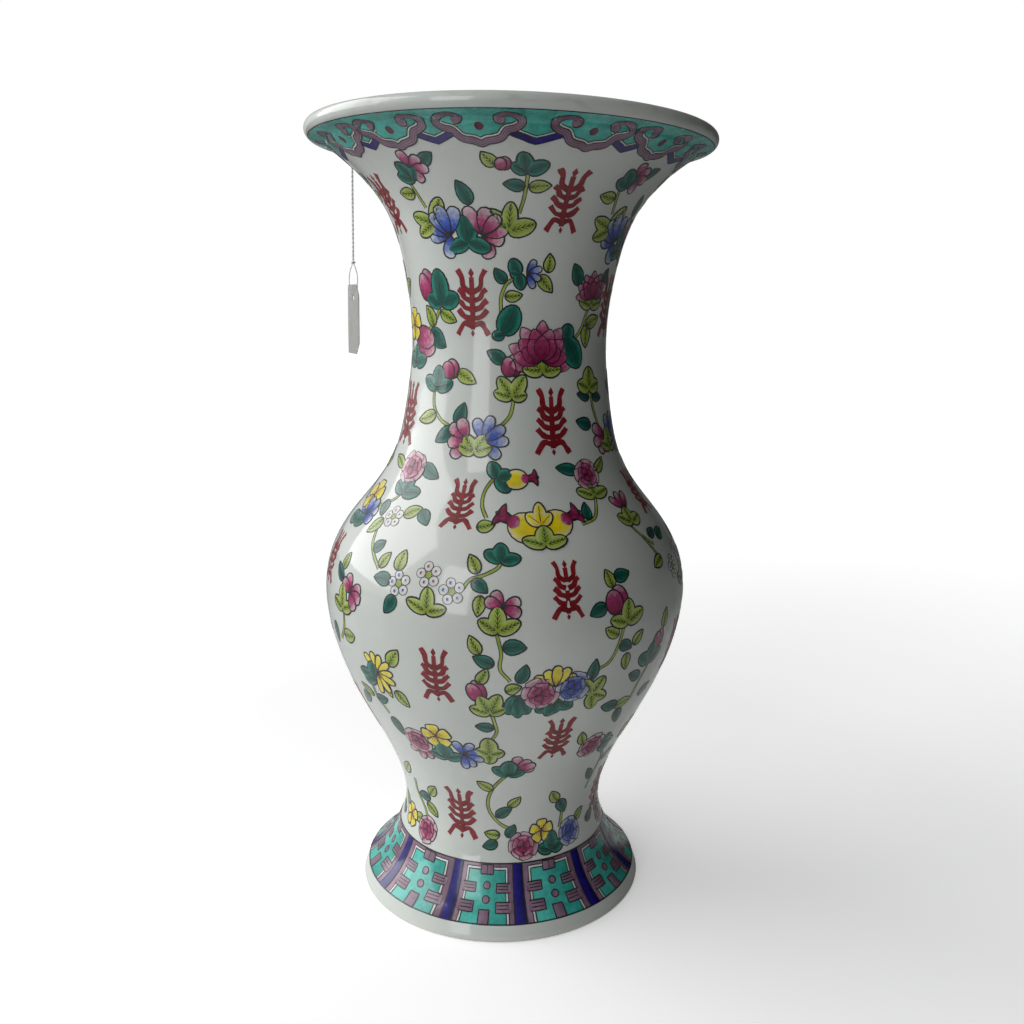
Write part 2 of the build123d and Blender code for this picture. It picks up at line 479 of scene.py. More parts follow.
def fillTurnedTree(tree):
    given = tree.nodes.new("NodeGroupInput").outputs
    rows = mathNode(tree, "ADD", given["Points"], 1)
    columns = mathNode(tree, "ADD", given["Sides"], 1)
    grid = addNode(tree, "GeometryNodeMeshGrid", {"Vertices X": rows, "Vertices Y": columns})
    number = tree.nodes.new("GeometryNodeInputIndex").outputs[0]
    row = mathNode(tree, "FLOOR", mathNode(tree, "DIVIDE", mathNode(tree, "ADD", number, 0.5), columns))
    column = mathNode(tree, "SUBTRACT", number, times(tree, row, columns))
    wanted = mathNode(tree, "MODULO", row, given["Points"])
    source = addNode(tree, "GeometryNodeObjectInfo", {"Object": given["Profile"]})
    place = tree.nodes.new("GeometryNodeInputPosition").outputs[0]
    sample = addNode(
        tree,
        "GeometryNodeSampleIndex",
        {0: source.outputs["Geometry"], 1: place, 2: wanted},
        data_type="FLOAT_VECTOR",
    )
    parts = vectorParts(tree, sample.outputs[0])
    share = mathNode(tree, "MODULO", mathNode(tree, "DIVIDE", column, given["Sides"]), 1)
    angle = times(tree, share, 2 * math.pi)
    cosine = mathNode(tree, "COSINE", angle)
    sine = mathNode(tree, "SINE", angle)
    circle = vectorOf(tree, cosine, sine, given["Seed"])
    noise = addNode(tree, "ShaderNodeTexNoise", {"Vector": circle, "Scale": 2.6, "Detail": 3.0})
    centred = mathNode(tree, "SUBTRACT", noise.outputs[0], 0.5)
    inside = mathNode(tree, "LESS_THAN", parts[0], given["Waver Inside"])
    waver = times(tree, times(tree, centred, given["Waver"]), inside)
    radius = mathNode(tree, "ADD", parts[0], waver)
    place = vectorOf(tree, times(tree, radius, cosine), times(tree, radius, sine), parts[2])
    moved = addNode(tree, "GeometryNodeSetPosition", {0: grid.outputs[0], "Position": place}).outputs[0]
    closed = addNode(tree, "GeometryNodeMergeByDistance", {0: moved, "Distance": 1e-6}).outputs[0]
    flipped = addNode(tree, "GeometryNodeFlipFaces", {0: closed}).outputs[0]
    smooth = addNode(tree, "GeometryNodeSetShadeSmooth", {0: flipped}).outputs[0]
    finishTree(tree, smooth, given["Material"])


fillTurnedTree(turnedTree)


def turned(name, profile, material, replaced, waverInside=0.0, waver=0.0, seed=0.0):
    source = addObject(name + "Profile", meshFrom(name, [(r, 0, z) for r, z in profile], []))
    piece = addObject(name, bpy.data.meshes.new(name))
    piece.data = shaped(turnedTree, piece, {
        "Profile": source,
        "Points": len(profile),
        "Sides": wall["sides"],
        "Waver Inside": waverInside,
        "Waver": waver,
        "Seed": seed,
        "Material": material,
    })
    piece.data.name = name
    piece.data.set_sharp_from_angle(angle=math.radians(35))
    bpy.data.objects.remove(source)
    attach(piece, "vase")
    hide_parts(replaced)


# finishes
def newFinish(name, roughness, **settings):
    material = bpy.data.materials.new(name)
    material.use_nodes = True
    tree = material.node_tree
    shader = tree.nodes["Principled BSDF"]
    shader.inputs["Roughness"].default_value = roughness
    for key, value in settings.items():
        shader.inputs[key.replace("_", " ")].default_value = value
    return material, tree, shader


def ramp(tree, factor, stops):
    made = addNode(tree, "ShaderNodeValToRGB", {0: factor})
    elements = made.color_ramp.elements
    for place, colour in stops[2:]:
        elements.new(place)
    for element, (place, colour) in zip(elements, stops):
        element.position = place
        element.color = (*colour, 1)
    return made.outputs[0]


def noiseOf(tree, scale, detail=4.0, stretch=None, distortion=0.0):
    vector = objectPlace(tree)
    if stretch:
        vector = addNode(tree, "ShaderNodeMapping", {0: vector, "Scale": stretch}).outputs[0]
    values = {"Vector": vector, "Scale": scale, "Detail": detail, "Distortion": distortion}
    return addNode(tree, "ShaderNodeTexNoise", values).outputs[0]


def mixed(tree, factor, first, second, blend="MIX"):
    made = addNode(tree, "ShaderNodeMix", data_type="RGBA", blend_type=blend)
    for index, value in ((0, factor), (6, first), (7, second)):
        if isinstance(value, bpy.types.NodeSocket):
            tree.links.new(value, made.inputs[index])
        else:
            made.inputs[index].default_value = value if index == 0 else (*value, 1)
    return made.outputs[2]


def bumped(tree, shader, height, distance, strength=1.0, under=None):
    values = {"Height": height, "Distance": distance, "Strength": strength}
    if under is not None:
        values["Normal"] = under
    bump = addNode(tree, "ShaderNodeBump", values)
    tree.links.new(bump.outputs[0], shader.inputs["Normal"])
    return bump.outputs[0]


def between(tree, value, low, high, first, second):
    return addNode(tree, "ShaderNodeMapRange", {0: value, 1: low, 2: high, 3: first, 4: second}).outputs[0]


def glazeFinish(name, bareBelow):
    # glossy white glaze with a cool cast, faint throwing rings, and a bare ring under the foot
    material, tree, shader = newFinish(name, 0.1, IOR=1.52, Coat_Weight=0.35, Coat_Roughness=0.03)
    cloud = noiseOf(tree, 14, 5, (1, 1, 0.6))
    colour = ramp(tree, cloud, [(0.3, (0.60, 0.635, 0.605)), (0.7, (0.70, 0.72, 0.685))])
    height = vectorParts(tree, objectPlace(tree))[2]
    handled = noiseOf(tree, 55, 6, (1, 1, 2.5), 0.6)
    onLip = between(tree, height, lipTop - 9 * mm, lipTop - 5 * mm, 0, 1)
    smudge = times(tree, between(tree, handled, 0.52, 0.72, 0, 0.45), onLip)
    colour = mixed(tree, smudge, colour, (0.40, 0.36, 0.31))
    speck = noiseOf(tree, 900, 2)
    colour = mixed(tree, between(tree, speck, 0.76, 0.80, 0, 0.5), colour, (0.22, 0.20, 0.17))
    bare = mathNode(tree, "LESS_THAN", height, bareBelow)
    biscuit = ramp(tree, noiseOf(tree, 260, 4), [(0.3, (0.50, 0.43, 0.34)), (0.7, (0.66, 0.60, 0.51))])
    tree.links.new(mixed(tree, bare, colour, biscuit), shader.inputs["Base Color"])
    sheen = between(tree, noiseOf(tree, 30, 5), 0.3, 0.7, 0.07, 0.15)
    sheen = mathNode(tree, "MAXIMUM", sheen, times(tree, bare, 0.75))
    tree.links.new(sheen, shader.inputs["Roughness"])
    rings = noiseOf(tree, 60, 2, (0.02, 0.02, 1))
    under = bumped(tree, shader, rings, 0.5 * mm, 0.35)
    bumped(tree, shader, noiseOf(tree, 120, 3), 0.12 * mm, 0.35, under)
    return material


porcelain = glazeFinish("glazedPorcelain", 0.5 * mm)
baseGlaze = glazeFinish("baseGlaze", -1.0)


def mottledFinish(name, roughness, stops, grain, relief, depth, strength, sheen=0.0):
    # two tones mottled by one noise, over a relief made by another; a noise is (scale, detail, stretch)
    material, tree, shader = newFinish(name, roughness, Sheen_Weight=sheen)
    tree.links.new(ramp(tree, noiseOf(tree, *grain), stops), shader.inputs["Base Color"])
    bumped(tree, shader, noiseOf(tree, *relief), depth, strength)
    return material


slipTones = [(0.3, (0.55, 0.53, 0.47)), (0.7, (0.70, 0.69, 0.64))]
slipFinish = mottledFinish("lutingSlip", 0.4, slipTones, (180, 5), (400, 5), 0.3 * mm, 0.6)

sectionPieces = {
    "footSection": "foot_section",
    "bellySection": "belly_section",
    "shoulderSection": "shoulder_section",
    "mouthSection": "mouth_section",
}
for name, node in sectionPieces.items():
    turned(name, profiles[name], porcelain, node)
print("four thrown sections turned")

# slip between the sections, squeezed out unevenly inside
slip = {
    "nodes": ("slip_ring_stem", "slip_ring_belly", "slip_ring_neck"),
    "bulge": 1.5 * mm,
    "waver": 1.1 * mm,
    "waverFrom": 0.15 * mm,  # the waver starts this far inside the wall's inner side
}
for number, (node, height) in enumerate(zip(slip["nodes"], wall["seams"])):
    half = wall["halfSlip"]
    inside = innerRadius(height)
    outside = outerRadius(height) - wall["skin"]
    angle = np.radians(np.linspace(90, 270, 9))
    swell = np.stack([
        inside - 0.2 * mm + slip["bulge"] * np.cos(angle),
        height + 1.5 * half * np.sin(angle),
    ], 1)
    outerEnd = [(outside, height - half), (outside, height + half), (inside, height + half)]
    ringProfile = np.concatenate([outerEnd, swell, [(inside, height - half)]])
    name = "slipRing" + node.split("_")[-1].capitalize()
    reach = inside - slip["waverFrom"]
    turned(name, ringProfile, slipFinish, node, reach, slip["waver"], number * 3.7)

# the base: a turned disc, a little dished, with the rings that a rib leaves
base = {"dish": 0.7 * mm, "rings": 7, "ripple": 0.12 * mm}
across = np.linspace(0, 1, 60)
ripple = base["ripple"] * np.sin(across * base["rings"] * 2 * math.pi)
reach = baseHigh.x * across
topSide = np.stack([reach, baseHigh.z - base["dish"] * (1 - across**2) + ripple * (1 - across)], 1)
underSide = np.stack([reach, baseLow.z + base["dish"] * (1 - across**2) + ripple * (1 - across)], 1)
baseProfile = np.concatenate([underSide, topSide[::-1]])
turned("baseDisc", baseProfile, baseGlaze, "base_disc")
print("slip rings and base made")


# painted enamels: laid flat as angle round the vase against length up its wall, then wrapped
enamel = {
    "unit": 0.1,  # radius that flat distances round the vase are drawn at
    "lift": 0.05 * mm,
    "layer": 0.03 * mm,  # each stroke lies this much over the one before
    "sunk": 0.25 * mm,  # depth of a stroke's underside below its top
    "line": 0.82,  # width of the black outlines, in millimetres
    "hand": 0.22 * mm,  # unevenness of the painter's hand
}
wallHeights = np.linspace(wall["bandTop"], creasePoint[1], 700)
wallRadii = outerRadius(wallHeights)
wallRun = lengthAlong(np.stack([wallRadii, wallHeights], 1))
outlineCurve = bpy.data.curves.new("outline", "CURVE")
outlineCurve.dimensions = "3D"
outlineSpline = outlineCurve.splines.new("POLY")
outlineSpline.points.add(len(wallHeights) - 1)
for point, radius, height in zip(outlineSpline.points, wallRadii, wallHeights):
    point.co = (radius, 0, height, 1)
outlineObject = addObject("outline", outlineCurve)
strokes = {}


def runAt(height):
    return np.interp(height, wallHeights, wallRun)


def turnedShape(shape, degrees, at=(0, 0)):
    angle = math.radians(degrees)
    u = shape[..., 0] * math.cos(angle) - shape[..., 1] * math.sin(angle)
    v = shape[..., 0] * math.sin(angle) + shape[..., 1] * math.cos(angle)
    return np.stack([u + at[0], v + at[1]], -1)


def laid(spot, shape):
    # millimetres round a spot (angle, height) to the flat sheet
    angle, height = math.radians(spot[0]), spot[1] * mm
    across = angle + shape[..., 0] * mm / np.interp(height, wallHeights, wallRadii)
    return np.stack([across * enamel["unit"], runAt(height) + shape[..., 1] * mm], -1)


def fromPlaces(places):
    # a spot and a shape in millimetres from a list of (angle, height)
    places = np.array(places, float)
    spot = tuple(places.mean(0))
    radius = np.interp(spot[1] * mm, wallHeights, wallRadii)
    u = np.radians(places[:, 0] - spot[0]) * radius / mm
    v = (runAt(places[:, 1] * mm) - runAt(spot[1] * mm)) / mm
    return spot, np.stack([u, v], 1)


def smoothed(points, steps):
    # Catmull-Rom line through the points
    points = np.array(points, float)
    ends = np.concatenate([points[:1] * 2 - points[1:2], points, points[-1:] * 2 - points[-2:-1]])
    t = np.linspace(0, 1, steps, endpoint=False)[:, None]
    runs = []
    for a, b, c, d in zip(ends, ends[1:], ends[2:], ends[3:]):
        bend = (2 * a - 5 * b + 4 * c - d) * t**2 + (3 * b - a - 3 * c + d) * t**3
        runs.append(0.5 * (2 * b + (c - a) * t + bend))
    return np.concatenate(runs + [points[-1:]])


def besideOf(line):
    # at each point of a flat line, the way square to it on its left
    way = np.gradient(line, axis=0)
    way /= np.linalg.norm(way, axis=1)[:, None]
    return np.stack([-way[:, 1], way[:, 0]], 1)


def circleOf(radius, count):
    angles = np.linspace(0, 2 * math.pi, count, endpoint=False)
    return radius * np.stack([np.cos(angles), np.sin(angles)], 1)


def store(group, colour, points, faces, uv, wash):
    empty = {"points": [], "faces": [], "uv": [], "wash": [], "count": 0}
    kept = strokes.setdefault((colour, group), empty)
    kept["faces"].extend(tuple(kept["count"] + i for i in f) for f in faces)
    kept["points"].append(points)
    kept["uv"].append(uv)
    kept["wash"].append(np.full(len(points), wash))
    kept["count"] += len(points)


def addSheet(group, colour, spot, shape, level, crown=0.06, fade=1.0):
    # one closed pad of enamel from a grid of places: crowned on top, sunk into the glaze below
    rows, columns = shape.shape[:2]
    flat = laid(spot, shape).reshape(-1, 2)
    along = np.linspace(0, 1, rows)[:, None] * np.ones((1, columns))
    across = np.linspace(0, 1, columns)[None] * np.ones((rows, 1))
    crowned = crown * mm * (1 - (2 * across - 1) ** 2) * np.sin(math.pi * along) ** 0.5
    top = (enamel["lift"] + level * enamel["layer"] + crowned).reshape(-1, 1)
    low = np.full_like(top, enamel["lift"] + level * enamel["layer"] - enamel["sunk"])
    points = np.concatenate([np.hstack([flat, top]), np.hstack([flat, low])])
    uv = np.stack([along.ravel() * fade, across.ravel()], 1)
    store(group, colour, points, padFaces(rows, columns), np.concatenate([uv, uv]), chance.uniform(-1, 1))


def addRibbon(group, colour, left, right, top, closed, wash):
    # one closed ribbon of enamel between two edges that are laid flat already
    count = len(left)
    edges = [(right, top), (left, top), (left, top - enamel["sunk"]), (right, top - enamel["sunk"])]
    points = np.stack([np.column_stack([edge, np.full(count, lift)]) for edge, lift in edges], 1)
    along = np.repeat(np.linspace(0, 1, count), 4)
    across = np.tile([0.0, 1.0, 1.0, 0.0], count)
    uv = np.stack([along, across], 1)
    store(group, colour, points.reshape(-1, 3), ribbonFaces(count, closed), uv, wash)


def addLine(group, colour, spot, path, width, level, closed=False):
    # a ribbon of enamel along a line, pressed wider and narrower as a brush does
    path = np.array(path, float)
    if closed:
        way = np.roll(path, -1, axis=0) - np.roll(path, 1, axis=0)
    else:
        way = np.gradient(path, axis=0)
    way /= np.linalg.norm(way, axis=1)[:, None] + 1e-9
    count = len(path)
    press = np.interp(np.arange(count), np.linspace(0, count, 6), chance.uniform(0.78, 1.22, 6))
    if closed:
        press[-3:] = np.linspace(press[-3], press[0], 3)
    beside = np.stack([-way[:, 1], way[:, 0]], 1) * (0.5 * width * press)[:, None]
    top = enamel["lift"] + (level + 1) * enamel["layer"]
    left, right = laid(spot, path + beside), laid(spot, path - beside)
    addRibbon(group, colour, left, right, top, closed, chance.uniform(-1, 1))


def addBand(group, colour, spot, path, width, level):
    # a wide ribbon, divided across so that it follows the wall
    columns = np.linspace(0.5, -0.5, int(width / 1.1) + 2) * width
    shape = path[:, None] + besideOf(path)[:, None] * columns[None, :, None]
    addSheet(group, colour, spot, shape[:, ::-1], level, crown=0.03)


def petal(colour, spot, turn, length, width, level, at=(0, 0), base=0.7, tip=0.5, bend=0.0, fade=1.0,
          line=enamel["line"]):
    # a leaf or petal: rounder towards an end with a smaller power there
    t = 0.5 - 0.5 * np.cos(np.linspace(0, math.pi, 9))
    half = np.clip(t, 1e-4, 1) ** base * np.clip(1 - t, 1e-4, 1) ** tip
    half = np.maximum(0.5 * width * half / half.max(), 0.06)
    centre = np.stack([length * t, bend * length * np.sin(math.pi * t)], 1)
    v = np.linspace(-1, 1, 5)
    shape = centre[:, None] - besideOf(centre)[:, None] * (half[:, None] * v[None])[..., None]
    shape = turnedShape(shape, turn, at)[:, ::-1]
    addSheet("sprays", colour, spot, shape, level, fade=fade)
    if line:
        ink = "leafInk" if colour in ("lime", "green") else "ink"
        addLine("sprays", ink, spot, edgeOf(shape), line, level + 0.6, closed=True)
    return shape


def edgeOf(shape):
    # the outline of a petal's grid of places, up one side and down the other
    return np.concatenate([shape[:, 0], shape[::-1, -1]])


def addVeins(spot, shape, rows, level):
    # short strokes that slant from a leaf's middle towards its edges
    for i in rows:
        for side in (1, 3):
            vein = np.array([shape[i, 2], (shape[i + 1, 2] + 2 * shape[i + 1, side]) / 3])
            addLine("sprays", "veins", spot, vein, 0.42, level)


def leaf(colour, angle, height, turn, length, width=0.6):
    # centred on its place, with a midrib; lime leaves get hatched veins too
    spot = (angle, height)
    at = turnedShape(np.array([-length / 2, 0.0]), turn)
    bend = chance.uniform(-0.07, 0.07)
    shape = petal(colour, spot, turn, length, width * length, 2, at, base=0.55, tip=0.85, bend=bend)
    addLine("sprays", "leafInk", spot, shape[1:7, 2], 0.32, 4)
    if colour == "lime":
        addVeins(spot, shape, range(1, 6), 3)


def lobes(colour, angle, height, parts, level=3):
    # leaf lobes fanned from one base inside one shared outline: each part is (turn, length, width)
    spot = (angle, height)
    for number, (turn, length, width) in enumerate(parts):
        over = level + 1.2 + 0.8 * number
        shape = petal(colour, spot, turn, length, width, over, base=0.45, tip=0.55, line=0)
        outline = level + 0.1 * number
        addLine("sprays", "leafInk", spot, edgeOf(shape), 2.2 * enamel["line"], outline, closed=True)
        addLine("sprays", "leafInk", spot, shape[2:7, 2], 0.32, level + 5)
        if colour == "lime":
            addVeins(spot, shape, range(2, 7), level + 4.8)


def stem(places, width=1.7):
    # a lime stalk through (angle, height) places, inked along both sides
    spot, shape = fromPlaces(places)
    line = smoothed(shape, 6)
    beside = besideOf(line) * width / 2
    addLine("sprays", "lime", spot, line, width * 0.9, 0)
    for side in (1, -1):
        addLine("sprays", "leafInk", spot, line + side * beside, 0.5, 1)


def fan(colour, angle, height, turns, length, width):
    # petals from one base, fading to white at their tips; a turn may be (turn, length, width)
    spot = (angle, height)
    for number, turn in enumerate(turns):
        if isinstance(turn, tuple):
            own = turn
        else:
            own = (turn, length * chance.uniform(0.92, 1.08), width)
        shape = petal(colour, spot, *own, 2 + number, base=0.8, tip=0.4)
        for side in (1, 2, 3):
            addLine("sprays", "ink", spot, shape[1:4, side], 0.26, 3 + number)


def bud(colour, angle, height, turn, length, width):
    # a round fruit or bud with a cleft
    spot = (angle, height)
    for number in (0, 1):
        shift = (number - 0.5) * width * 0.28
        at = turnedShape(np.array([-length / 2, shift]), turn)
        own = (length * (1 - 0.08 * number), width * 0.8, 2 + number)
        petal(colour, spot, turn, *own, at, base=0.45, fade=0.85)


def peony(colour, angle, height, radius):
    # crowded lobed petals in rings that close towards the middle
    spot = (angle, height)
    level = 2
    for count, reach, width, share in ((7, 1.0, 0.86, 1.0), (5, 0.7, 0.74, 0.75), (3, 0.42, 0.5, 0.5)):
        for i in range(count):
            way = 360 * i / count + chance.uniform(-7, 7) + 25 * share
            length = radius * reach * chance.uniform(0.92, 1.06)
            petal(colour, spot, way, length, width * radius, level, base=0.9, tip=0.25, fade=share, line=0.5)
            level += 1


def lotus(colour, angle, height, radius, turn=90.0, spread=200.0):
    # pointed petals in three rows that open upwards
    spot = (angle, height)
    level = 2
    for count, reach, share in ((7, 1.0, 1.0), (6, 0.82, 0.85), (5, 0.62, 0.7)):
        for i in np.argsort(-np.abs(np.linspace(-1, 1, count))):
            way = turn + spread * reach * (i / (count - 1) - 0.5)
            length = radius * reach * (0.86 + 0.14 * math.cos(math.radians(way - turn)))
            own = (length, 0.42 * radius, level)
            petal(colour, spot, way, *own, base=0.8, tip=0.7, fade=share * 0.85, line=0.55)
            level += 1


def ringFlower(colour, angle, height, radius, count=5, turn=90.0):
    # rounded petals all round, with fine lines from the middle
    spot = (angle, height)
    for i in range(count):
        way = turn + 360 * i / count
        shape = petal(colour, spot, way, radius, radius * 0.85, 2 + i, base=0.8, tip=0.25, fade=0.9)
        for side in (1, 2, 3):
            addLine("sprays", "ironRed", spot, shape[1:5, side], 0.3, 3.2 + i)


def dottedBlossom(colour, angle, height, radius=4.6):
    # five round white petals, each with a dot, round a lime middle
    spot = (angle, height)
    for number, way in enumerate(102 + 72 * np.arange(5)):
        at = turnedShape(np.array([radius, 0.0]), way)
        addDisc("sprays", "white", spot, at, 2.7, 2 + 0.2 * number)
        addLine("sprays", "ink", spot, at + circleOf(2.7, 14), 0.36, 3.4, closed=True)
        addDisc("sprays", colour, spot, at, 1.0, 3.6)
    addDisc("sprays", "lime", spot, np.zeros(2), 1.9, 3.5)
    addLine("sprays", "ink", spot, circleOf(1.9, 14), 0.3, 4, closed=True)


def addDisc(group, colour, spot, at, radius, level):
    # a round spot of enamel
    rows = np.linspace(-1, 1, 7)
    half = np.sqrt(1 - (0.985 * rows) ** 2)
    across = half[:, None] * np.linspace(-1, 1, 5)
    shape = np.stack([rows[:, None] * np.ones((1, 5)), across], -1) * radius + at
    addSheet(group, colour, spot, shape, level)


def pomegranate(angle, height, radius, turn):
    # a yellow fruit, rosy towards a neck that opens in curled magenta points along the turn
    spot = (angle, height)
    way = np.array([math.cos(math.radians(turn)), math.sin(math.radians(turn))])
    for part in (-38, 38, 0):
        point = (radius * 1.25, radius * 0.62, 2 + abs(part) / 38, way * radius * 0.8)
        petal("rose", spot, turn + part, *point, base=0.6, tip=0.85, bend=-part / 110, fade=0.35)
    petal("yellow", spot, turn, 2.1 * radius, 1.9 * radius, 5, -way * radius, base=0.45)
    blush = (0.8 * radius, 0.9 * radius, 7, way * radius * 1.2)
    petal("rose", spot, turn + 180, *blush, base=0.9, tip=0.8, fade=0.8, line=0)


def ornament(angle, height, size):
    # iron red: an upright plume, size high, of paired strokes on a stalk between small lozenges
    spot = (angle, height)
    stalk = np.array([(0, -0.40), (0, -0.1), (0, 0.2), (0, 0.36)]) * size
    addLine("sprays", "ironRed", spot, stalk, 0.075 * size, 2)
    pairs = (
        ((0.02, 0.14), (0.13, 0.22), (0.15, 0.36), (0.21, 0.47)),
        ((0.02, 0.02), (0.12, 0.06), (0.16, 0.14), (0.22, 0.19)),
        ((0.02, -0.11), (0.12, -0.08), (0.17, -0.02), (0.23, 0.03)),
        ((0.02, -0.24), (0.12, -0.22), (0.18, -0.17), (0.23, -0.11)),
        ((0.02, -0.34), (0.13, -0.31), (0.19, -0.38), (0.25, -0.48)),
    )
    for pair in pairs:
        for side in (1, -1):
            line = smoothed(np.array(pair) * (side * size, size), 4)
            addLine("sprays", "ironRed", spot, line, 0.082 * size, 2.2)
    for middle, reach in ((0.42, 0.07), (-0.455, 0.05)):
        rows = np.linspace(-1, 1, 5)
        half = (1 - 0.94 * np.abs(rows)) * 0.62
        across = half[:, None] * np.linspace(1, -1, 5)
        shape = np.stack([across, rows[:, None] * np.ones((1, 5))], -1) * reach * size
        addSheet("sprays", "ironRed", spot, shape + (0, middle * size), 2.4)


# the sprays, over half the way round; the other half repeats them
ornaments = [
    # height, size, and the angles that it comes at
    (416, 37, (25, -65)),
    (362, 37, (-18, 72)),
    (298, 38, (25, -65)),
    (254, 31, (-16, 74)),
    (214, 32, (20, -70)),
    (165, 34, (-18, 72)),
    (123, 34, (22, -68)),
    (66, 36, (-20, 70)),
]
for height, size, angles in ornaments:
    for angle in angles:
        ornament(angle, height, size)

mouthSpray = (
    ("stem", [(-41, 424), (-39.5, 418), (-37.5, 411)]),
    ("stem", [(5.5, 408), (7.3, 417), (8, 429)]),
    ("leaf", "lime", -45.3, 419, 176, 12),
    ("leaf", "green", -28, 433.5, 35, 12.5),
    ("leaf", "green", -17.2, 418, 112, 14.5),
    ("leaf", "green", 3, 421.3, 172, 11.5),
    ("leaf", "lime", 13, 421.3, 8, 12),
    ("leaf", "lime", -5.6, 433, 130, 10.5, 0.75),
    ("fan", "rose", -36, 430, [100, 40, -5, -65], 10.5, 6.5),
    ("lobes", "green", -37.5, 425, [(165, 10.5, 7), (120, 12, 8), (60, 8, 6)]),
    ("lobes", "lime", -35.5, 403, [(60, 16, 8.5), (160, 14.5, 8), (205, 13, 7.5)]),
    ("lobes", "lime", 1, 399, [(132, 15, 7.5), (86, 15.5, 7.5), (18, 14.5, 9)]),
    ("bud", "rose", -1, 431, 90, 8, 8),
    ("lobes", "green", 7.6, 427.5, [(152, 9, 6.5), (105, 12, 7.5), (30, 11.5, 8)]),
    ("fan", "blue", -27, 397, [
        (183, 14, 7.5), (258, 12.5, 8.5), (158, 15, 7.5), (72, 16, 8), (134, 16, 7.5), (108, 17, 8),
    ], 15, 8),
    ("fan", "rose", -11, 397, [
        (-72, 13, 8.5), (-15, 12, 7.5), (16, 14, 8), (118, 17, 7.5), (80, 15, 8), (48, 14, 7),
    ], 14, 8),
    ("lobes", "green", -18, 393.5, [(198, 13, 7.5), (-18, 12.5, 7.5), (95, 14, 11)]),
)
stoutSpray = (
    ("stem", [(-38, 361), (-42, 353), (-50, 345)]),
    ("leaf", "lime", -47.3, 354, 118, 13),
    ("leaf", "lime", -33, 354, -28, 12),
    ("leaf", "green", -40.5, 342, -42, 15, 0.66),
    ("bud", "rose", -48, 371, 105, 17, 14),
    ("lobes", "green", -37, 361, [(165, 12, 8.5), (18, 12, 9.5), (95, 18.5, 11.5)]),
    ("bud", "rose", -53, 339.5, -12, 21, 16),
    ("ringFlower", "yellow", -67, 349, 9.5),
    ("lobes", "green", -63, 327, [(165, 13, 8), (95, 10, 9), (15, 12, 8)]),
    ("stem", [(-66, 329), (-72, 336), (-78, 352), (-80, 366)]),
    ("leaf", "green", -84, 350, 160, 11),
    ("leaf", "lime", -72, 372, 20, 11),
    ("lobes", "lime", -80, 366, [(150, 11, 7), (90, 12, 8), (35, 11, 7)]),
    ("bud", "rose", -80, 381, 90, 9, 9),
    ("leaf", "green", -2.8, 376.5, 130, 9.5, 0.66),
    ("stem", [(4, 375), (0, 371.5), (-2.6, 364), (-2.2, 354)]),
    ("lobes", "green", 6, 377, [(115, 8.5, 6.5), (-75, 8, 6), (170, 4, 4)]),
    ("fan", "blue", 10.5, 377.5, [62, 22, -20, -62], 8, 4),
    ("leaf", "lime", 21, 383.5, 88, 10, 0.66),
    ("leaf", "lime", 20.6, 372.6, -48, 12),
    ("leaf", "lime", 4, 366, 6, 9.5, 0.66),
    ("lobes", "green", -1, 345, [(190, 6, 5), (68, 16.5, 12)]),
    ("lotus", "rose", 20, 331, 22),
    ("lobes", "lime", 20.5, 325, [(172, 11, 7), (8, 11, 7), (140, 12, 8), (40, 12, 8), (90, 11, 9)]),
    ("lobes", "green", 35, 343, [(80, 8, 8), (-60, 18, 13)]),
    ("stem", [(39, 342), (45, 348), (50, 360)]),
    ("leaf", "lime", 50, 344.5, -95, 13),
    ("leaf", "lime", 55, 353, 22, 12.5),
    ("lotus", "rose", 52, 366, 15, 95.0, 170.0),
    ("lobes", "lime", 52, 361.5, [(165, 10, 6.5), (15, 10, 6.5), (90, 8, 9)]),
    ("leaf", "green", 38, 378, 115, 13),
    ("leaf", "green", 62, 378, 60, 11),
)
collarSpray = (
    ("stem", [(-42, 314), (-40.5, 304), (-35, 297), (-27, 293)]),
    ("leaf", "lime", -45, 298, 200, 15, 0.5),
    ("leaf", "green", -23, 301, 72, 13),
    ("leaf", "green", -31, 288.5, 214, 14.5),
    ("bud", "rose", -31.5, 325, 100, 11, 11),
    ("leaf", "lime", -21, 321, -28, 13),
    ("lobes", "green", -39.5, 314, [(152, 12, 7.5), (20, 11, 7.5), (88, 12.5, 9.5)]),
    ("fan", "rose", -18, 288, [235, 198, 152, 118], 13, 7.5),
    ("fan", "blue", -10, 287, [-45, 0, 112, 72, 33], 13.5, 6.5),
    ("lobes", "lime", -14, 280.5, [(160, 10, 7), (20, 10, 7), (125, 11, 7.5), (60, 11, 7.5)]),
    ("stem", [(-3, 293.5), (3, 301), (5, 311)]),
    ("bud", "rose", 3.2, 328, 95, 12, 10),
    ("lobes", "lime", 4, 311, [(166, 10, 6.5), (10, 8, 6), (125, 13, 7.5), (60, 13.5, 8)]),
    ("leaf", "green", -5, 332.5, 148, 11.5, 0.66),
    ("lobes", "lime", 52, 315, [(160, 10, 8), (18, 10, 8), (90, 12, 10)]),
    ("stem", [(53, 315), (54, 304), (58, 292)]),
    ("leaf", "green", 46.5, 311, 165, 10),
    ("leaf", "green", 58.5, 310, -8, 10),
    ("leaf", "green", 45, 296, 165, 12),
    ("fan", "rose", 62, 288, [235, 200, 155], 12, 7),
    ("fan", "blue", 70, 287, [-45, 0, 112, 72, 33], 13.5, 6.5),
    ("lobes", "lime", 66, 280.5, [(160, 10, 7), (20, 10, 7), (90, 12, 9)]),
    ("stem", [(77, 294), (83, 302), (85, 312)]),
    ("lobes", "green", 85, 312, [(152, 11, 7.5), (20, 10, 7.5), (88, 12, 9)]),
)
